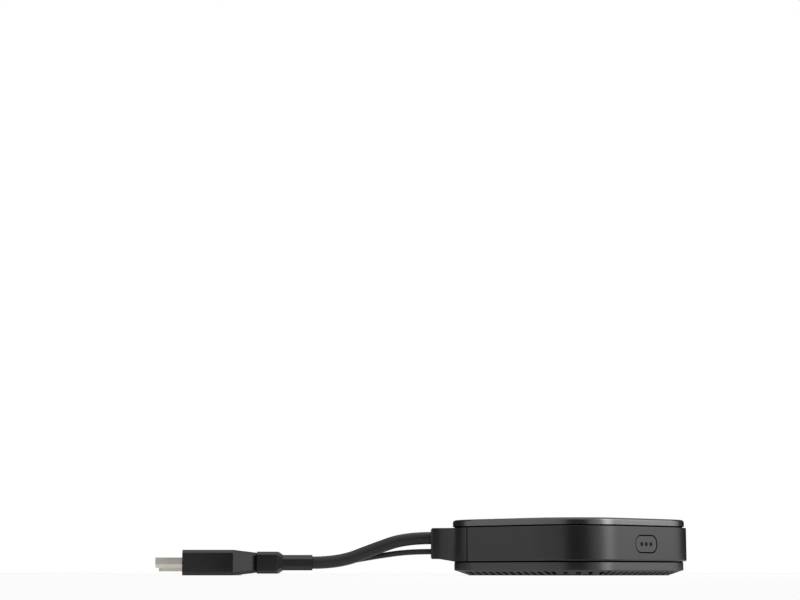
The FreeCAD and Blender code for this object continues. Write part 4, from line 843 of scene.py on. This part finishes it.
@dataclass
class Studio:
    """Floor, pale surroundings, lamps, cards and camera.

    Attributes:
        lamps: The lamps.
        cards: The dark cards that draw the shadows in the gloss.
        floor_size: Side of the floor, in metres.
        floor_drop: How far the floor lies under the foot, so that the two don't touch.
        floor_glow: How white the floor shows to the lens and in gloss, where its shadow would be black.
        sky_level: How much the surroundings light the object.
        distance: From the camera to the puck's middle plane, in metres.
        focal_px: Focal length in pixels of the photograph.
        frame_px: Width of the photograph in pixels.
        left_mm: How far to the left of the puck's middle the camera stands.
        height_mm: Height of the lens over the floor.
        pitch: How far the camera looks up, in degrees.
        clip: The nearest and the farthest that the camera sees, in metres.
        card_lift: How far the cards stand over the floor, so that they don't touch it.
        card_bends: In how many flat parts a card is bent.
    """

    lamps: tuple[Softbox, ...]
    cards: tuple[Card, ...]
    floor_size: float = 8.0
    floor_drop: float = 0.00002
    floor_glow: float = 0.75
    sky_level: float = 0.7
    distance: float = 0.85
    focal_px: float = 1923.4
    frame_px: float = 800.0
    left_mm: float = 73.77
    height_mm: float = 1.2
    pitch: float = 8.067
    clip: tuple[float, float] = (0.01, 50.0)
    card_lift: float = 0.0005
    card_bends: int = 12

    def build(self) -> None:
        """Sets up everything round the object."""
        self.make_floor()
        self.make_surroundings()
        for lamp in self.lamps:
            lamp.build()
        for card in self.cards:
            self.make_card(card)
        self.make_camera()
        bpy.context.scene.view_settings.view_transform = "Standard"

    def make_floor(self) -> None:
        """Lays a matt pale sheet with a very fine tooth, clear from below."""
        half = self.floor_size / 2
        shape = bmesh.new()
        shape.faces.new([shape.verts.new((x * half, y * half, -self.floor_drop))
                         for x, y in ((-1, -1), (1, -1), (1, 1), (-1, 1))])
        floor = new_mesh_piece("floor", shape, PAPER)
        tree = floor.data.materials[0].node_tree
        glow = add_node(tree, "Emission", {"Color": linear(WHITE), "Strength": 1.0})
        share = add_node(tree, "Math", {0: self.seen_share(tree), 1: self.floor_glow}, operation="MULTIPLY")
        mixed = add_node(tree, "MixShader", {
            0: share.outputs[0], 1: tree.nodes["Principled BSDF"].outputs[0], 2: glow.outputs[0]})
        behind = add_node(tree, "NewGeometry").outputs["Backfacing"]
        sided = add_node(tree, "MixShader", {
            0: behind, 1: mixed.outputs[0], 2: add_node(tree, "BsdfTransparent").outputs[0]})
        tree.links.new(sided.outputs[0], tree.nodes["Material Output"].inputs["Surface"])

    def seen_share(self, tree: bpy.types.NodeTree) -> bpy.types.NodeSocket:
        """Tells apart the rays that show something from those that only light it.

        Args:
            tree: The nodes of the material or world that asks.

        Returns:
            1 for what the lens, gloss, metal and clear plastic see, and 0 for the rest.
        """
        path = add_node(tree, "LightPath").outputs
        seen = path["Is Camera Ray"]
        for kind in ("Is Glossy Ray", "Is Transmission Ray"):
            seen = add_node(tree, "Math", {0: seen, 1: path[kind]}, operation="MAXIMUM").outputs[0]
        return seen

    def make_surroundings(self) -> None:
        """Lights from all round, and shows white to the lens and in gloss and metal."""
        world = bpy.data.worlds.new("pale_room")
        bpy.context.scene.world = world
        world.use_nodes = True
        tree = world.node_tree
        tree.nodes.clear()
        level = add_node(tree, "MapRange", {
            "Value": self.seen_share(tree), "To Min": self.sky_level, "To Max": 1.0})
        white = add_node(tree, "Background", {"Color": linear(WHITE), "Strength": level.outputs[0]})
        add_node(tree, "OutputWorld", {"Surface": white.outputs[0]})

    def make_card(self, card: Card) -> None:
        """Stands a curved dark card that only gloss sees, so the floor and the rest stay lit.

        Args:
            card: Its place and size.
        """
        shape = bmesh.new()
        step = (card.end - card.start) / self.card_bends
        turns = [math.radians(card.start + step * i) for i in range(self.card_bends + 1)]
        profile = ((card.foot, self.card_lift), (card.distance, self.card_lift),
                   (card.distance, card.height))
        rows = [[shape.verts.new((card.middle + math.sin(turn) * reach, -math.cos(turn) * reach, height))
                 for turn in turns] for reach, height in profile]
        for low, high in zip(rows, rows[1:]):
            for i in range(self.card_bends):
                shape.faces.new((low[i], low[i + 1], high[i + 1], high[i]))
        piece = new_mesh_piece(card.name, shape, FELT)
        piece.visible_camera = False
        piece.visible_diffuse = False
        piece.visible_shadow = False
        piece.visible_transmission = False

    def make_camera(self) -> None:
        """Stands the camera where the photograph was taken from."""
        lens = bpy.data.cameras.new("camera")
        lens.lens = self.focal_px / self.frame_px * lens.sensor_width
        lens.clip_start, lens.clip_end = self.clip
        camera = bpy.data.objects.new("camera", lens)
        camera.location = (-self.left_mm * MM, -self.distance, self.height_mm * MM)
        level = 90.0  # A camera looks straight down until it is turned by this much.
        camera.rotation_euler = (math.radians(level + self.pitch), 0.0, 0.0)
        bpy.context.scene.collection.objects.link(camera)
        bpy.context.scene.camera = camera


# The right softboxes draw the bright band on the puck's right side, and the third lights its top.
LAMPS = (
    Softbox("right_softbox", (1.18, -0.25, 0.45), (1.2, 0.9), 1.65),
    Softbox("narrow_softbox", (1.16, -0.66, 0.4), (0.48, 0.9), 5.0),
    Softbox("top_softbox", (0.0, 0.2, 1.4), (0.9, 0.9), 1.0),
)
# The cards stand in what the puck's front, the plugs, and the puck's left and right mirror.
CARDS = (
    Card("front_card", -13.0, 23.0, 0.065, 1.1, 0.4),
    Card("plug_card", -10.0, 20.0, 0.02, 1.0, 0.4, middle=-0.15),
    Card("left_card", -160.0, -102.0, 0.055, 0.3, 0.3),
    Card("right_card", 112.0, 156.0, 0.1, 0.3, 0.25),
)


def main() -> None:
    """Builds the pieces and the studio, and reports each one."""
    logging.basicConfig(level=logging.INFO, format="%(name)s: %(message)s")
    log.info("%d nodes dressed", Dresser(FINISHES, NODE_FINISHES).dress())
    for cord in (VIDEO_CORD, POWER_CORD):
        log.info("%s laid", cord.build().name)
    log.info("%s printed", ModeKey().build().name)
    for piece in PlugContacts().build():
        log.info("%s made", piece.name)
    Studio(LAMPS, CARDS).build()
    log.info("%d lamps and %d cards stood", len(LAMPS), len(CARDS))


if __name__ == "__main__":
    main()
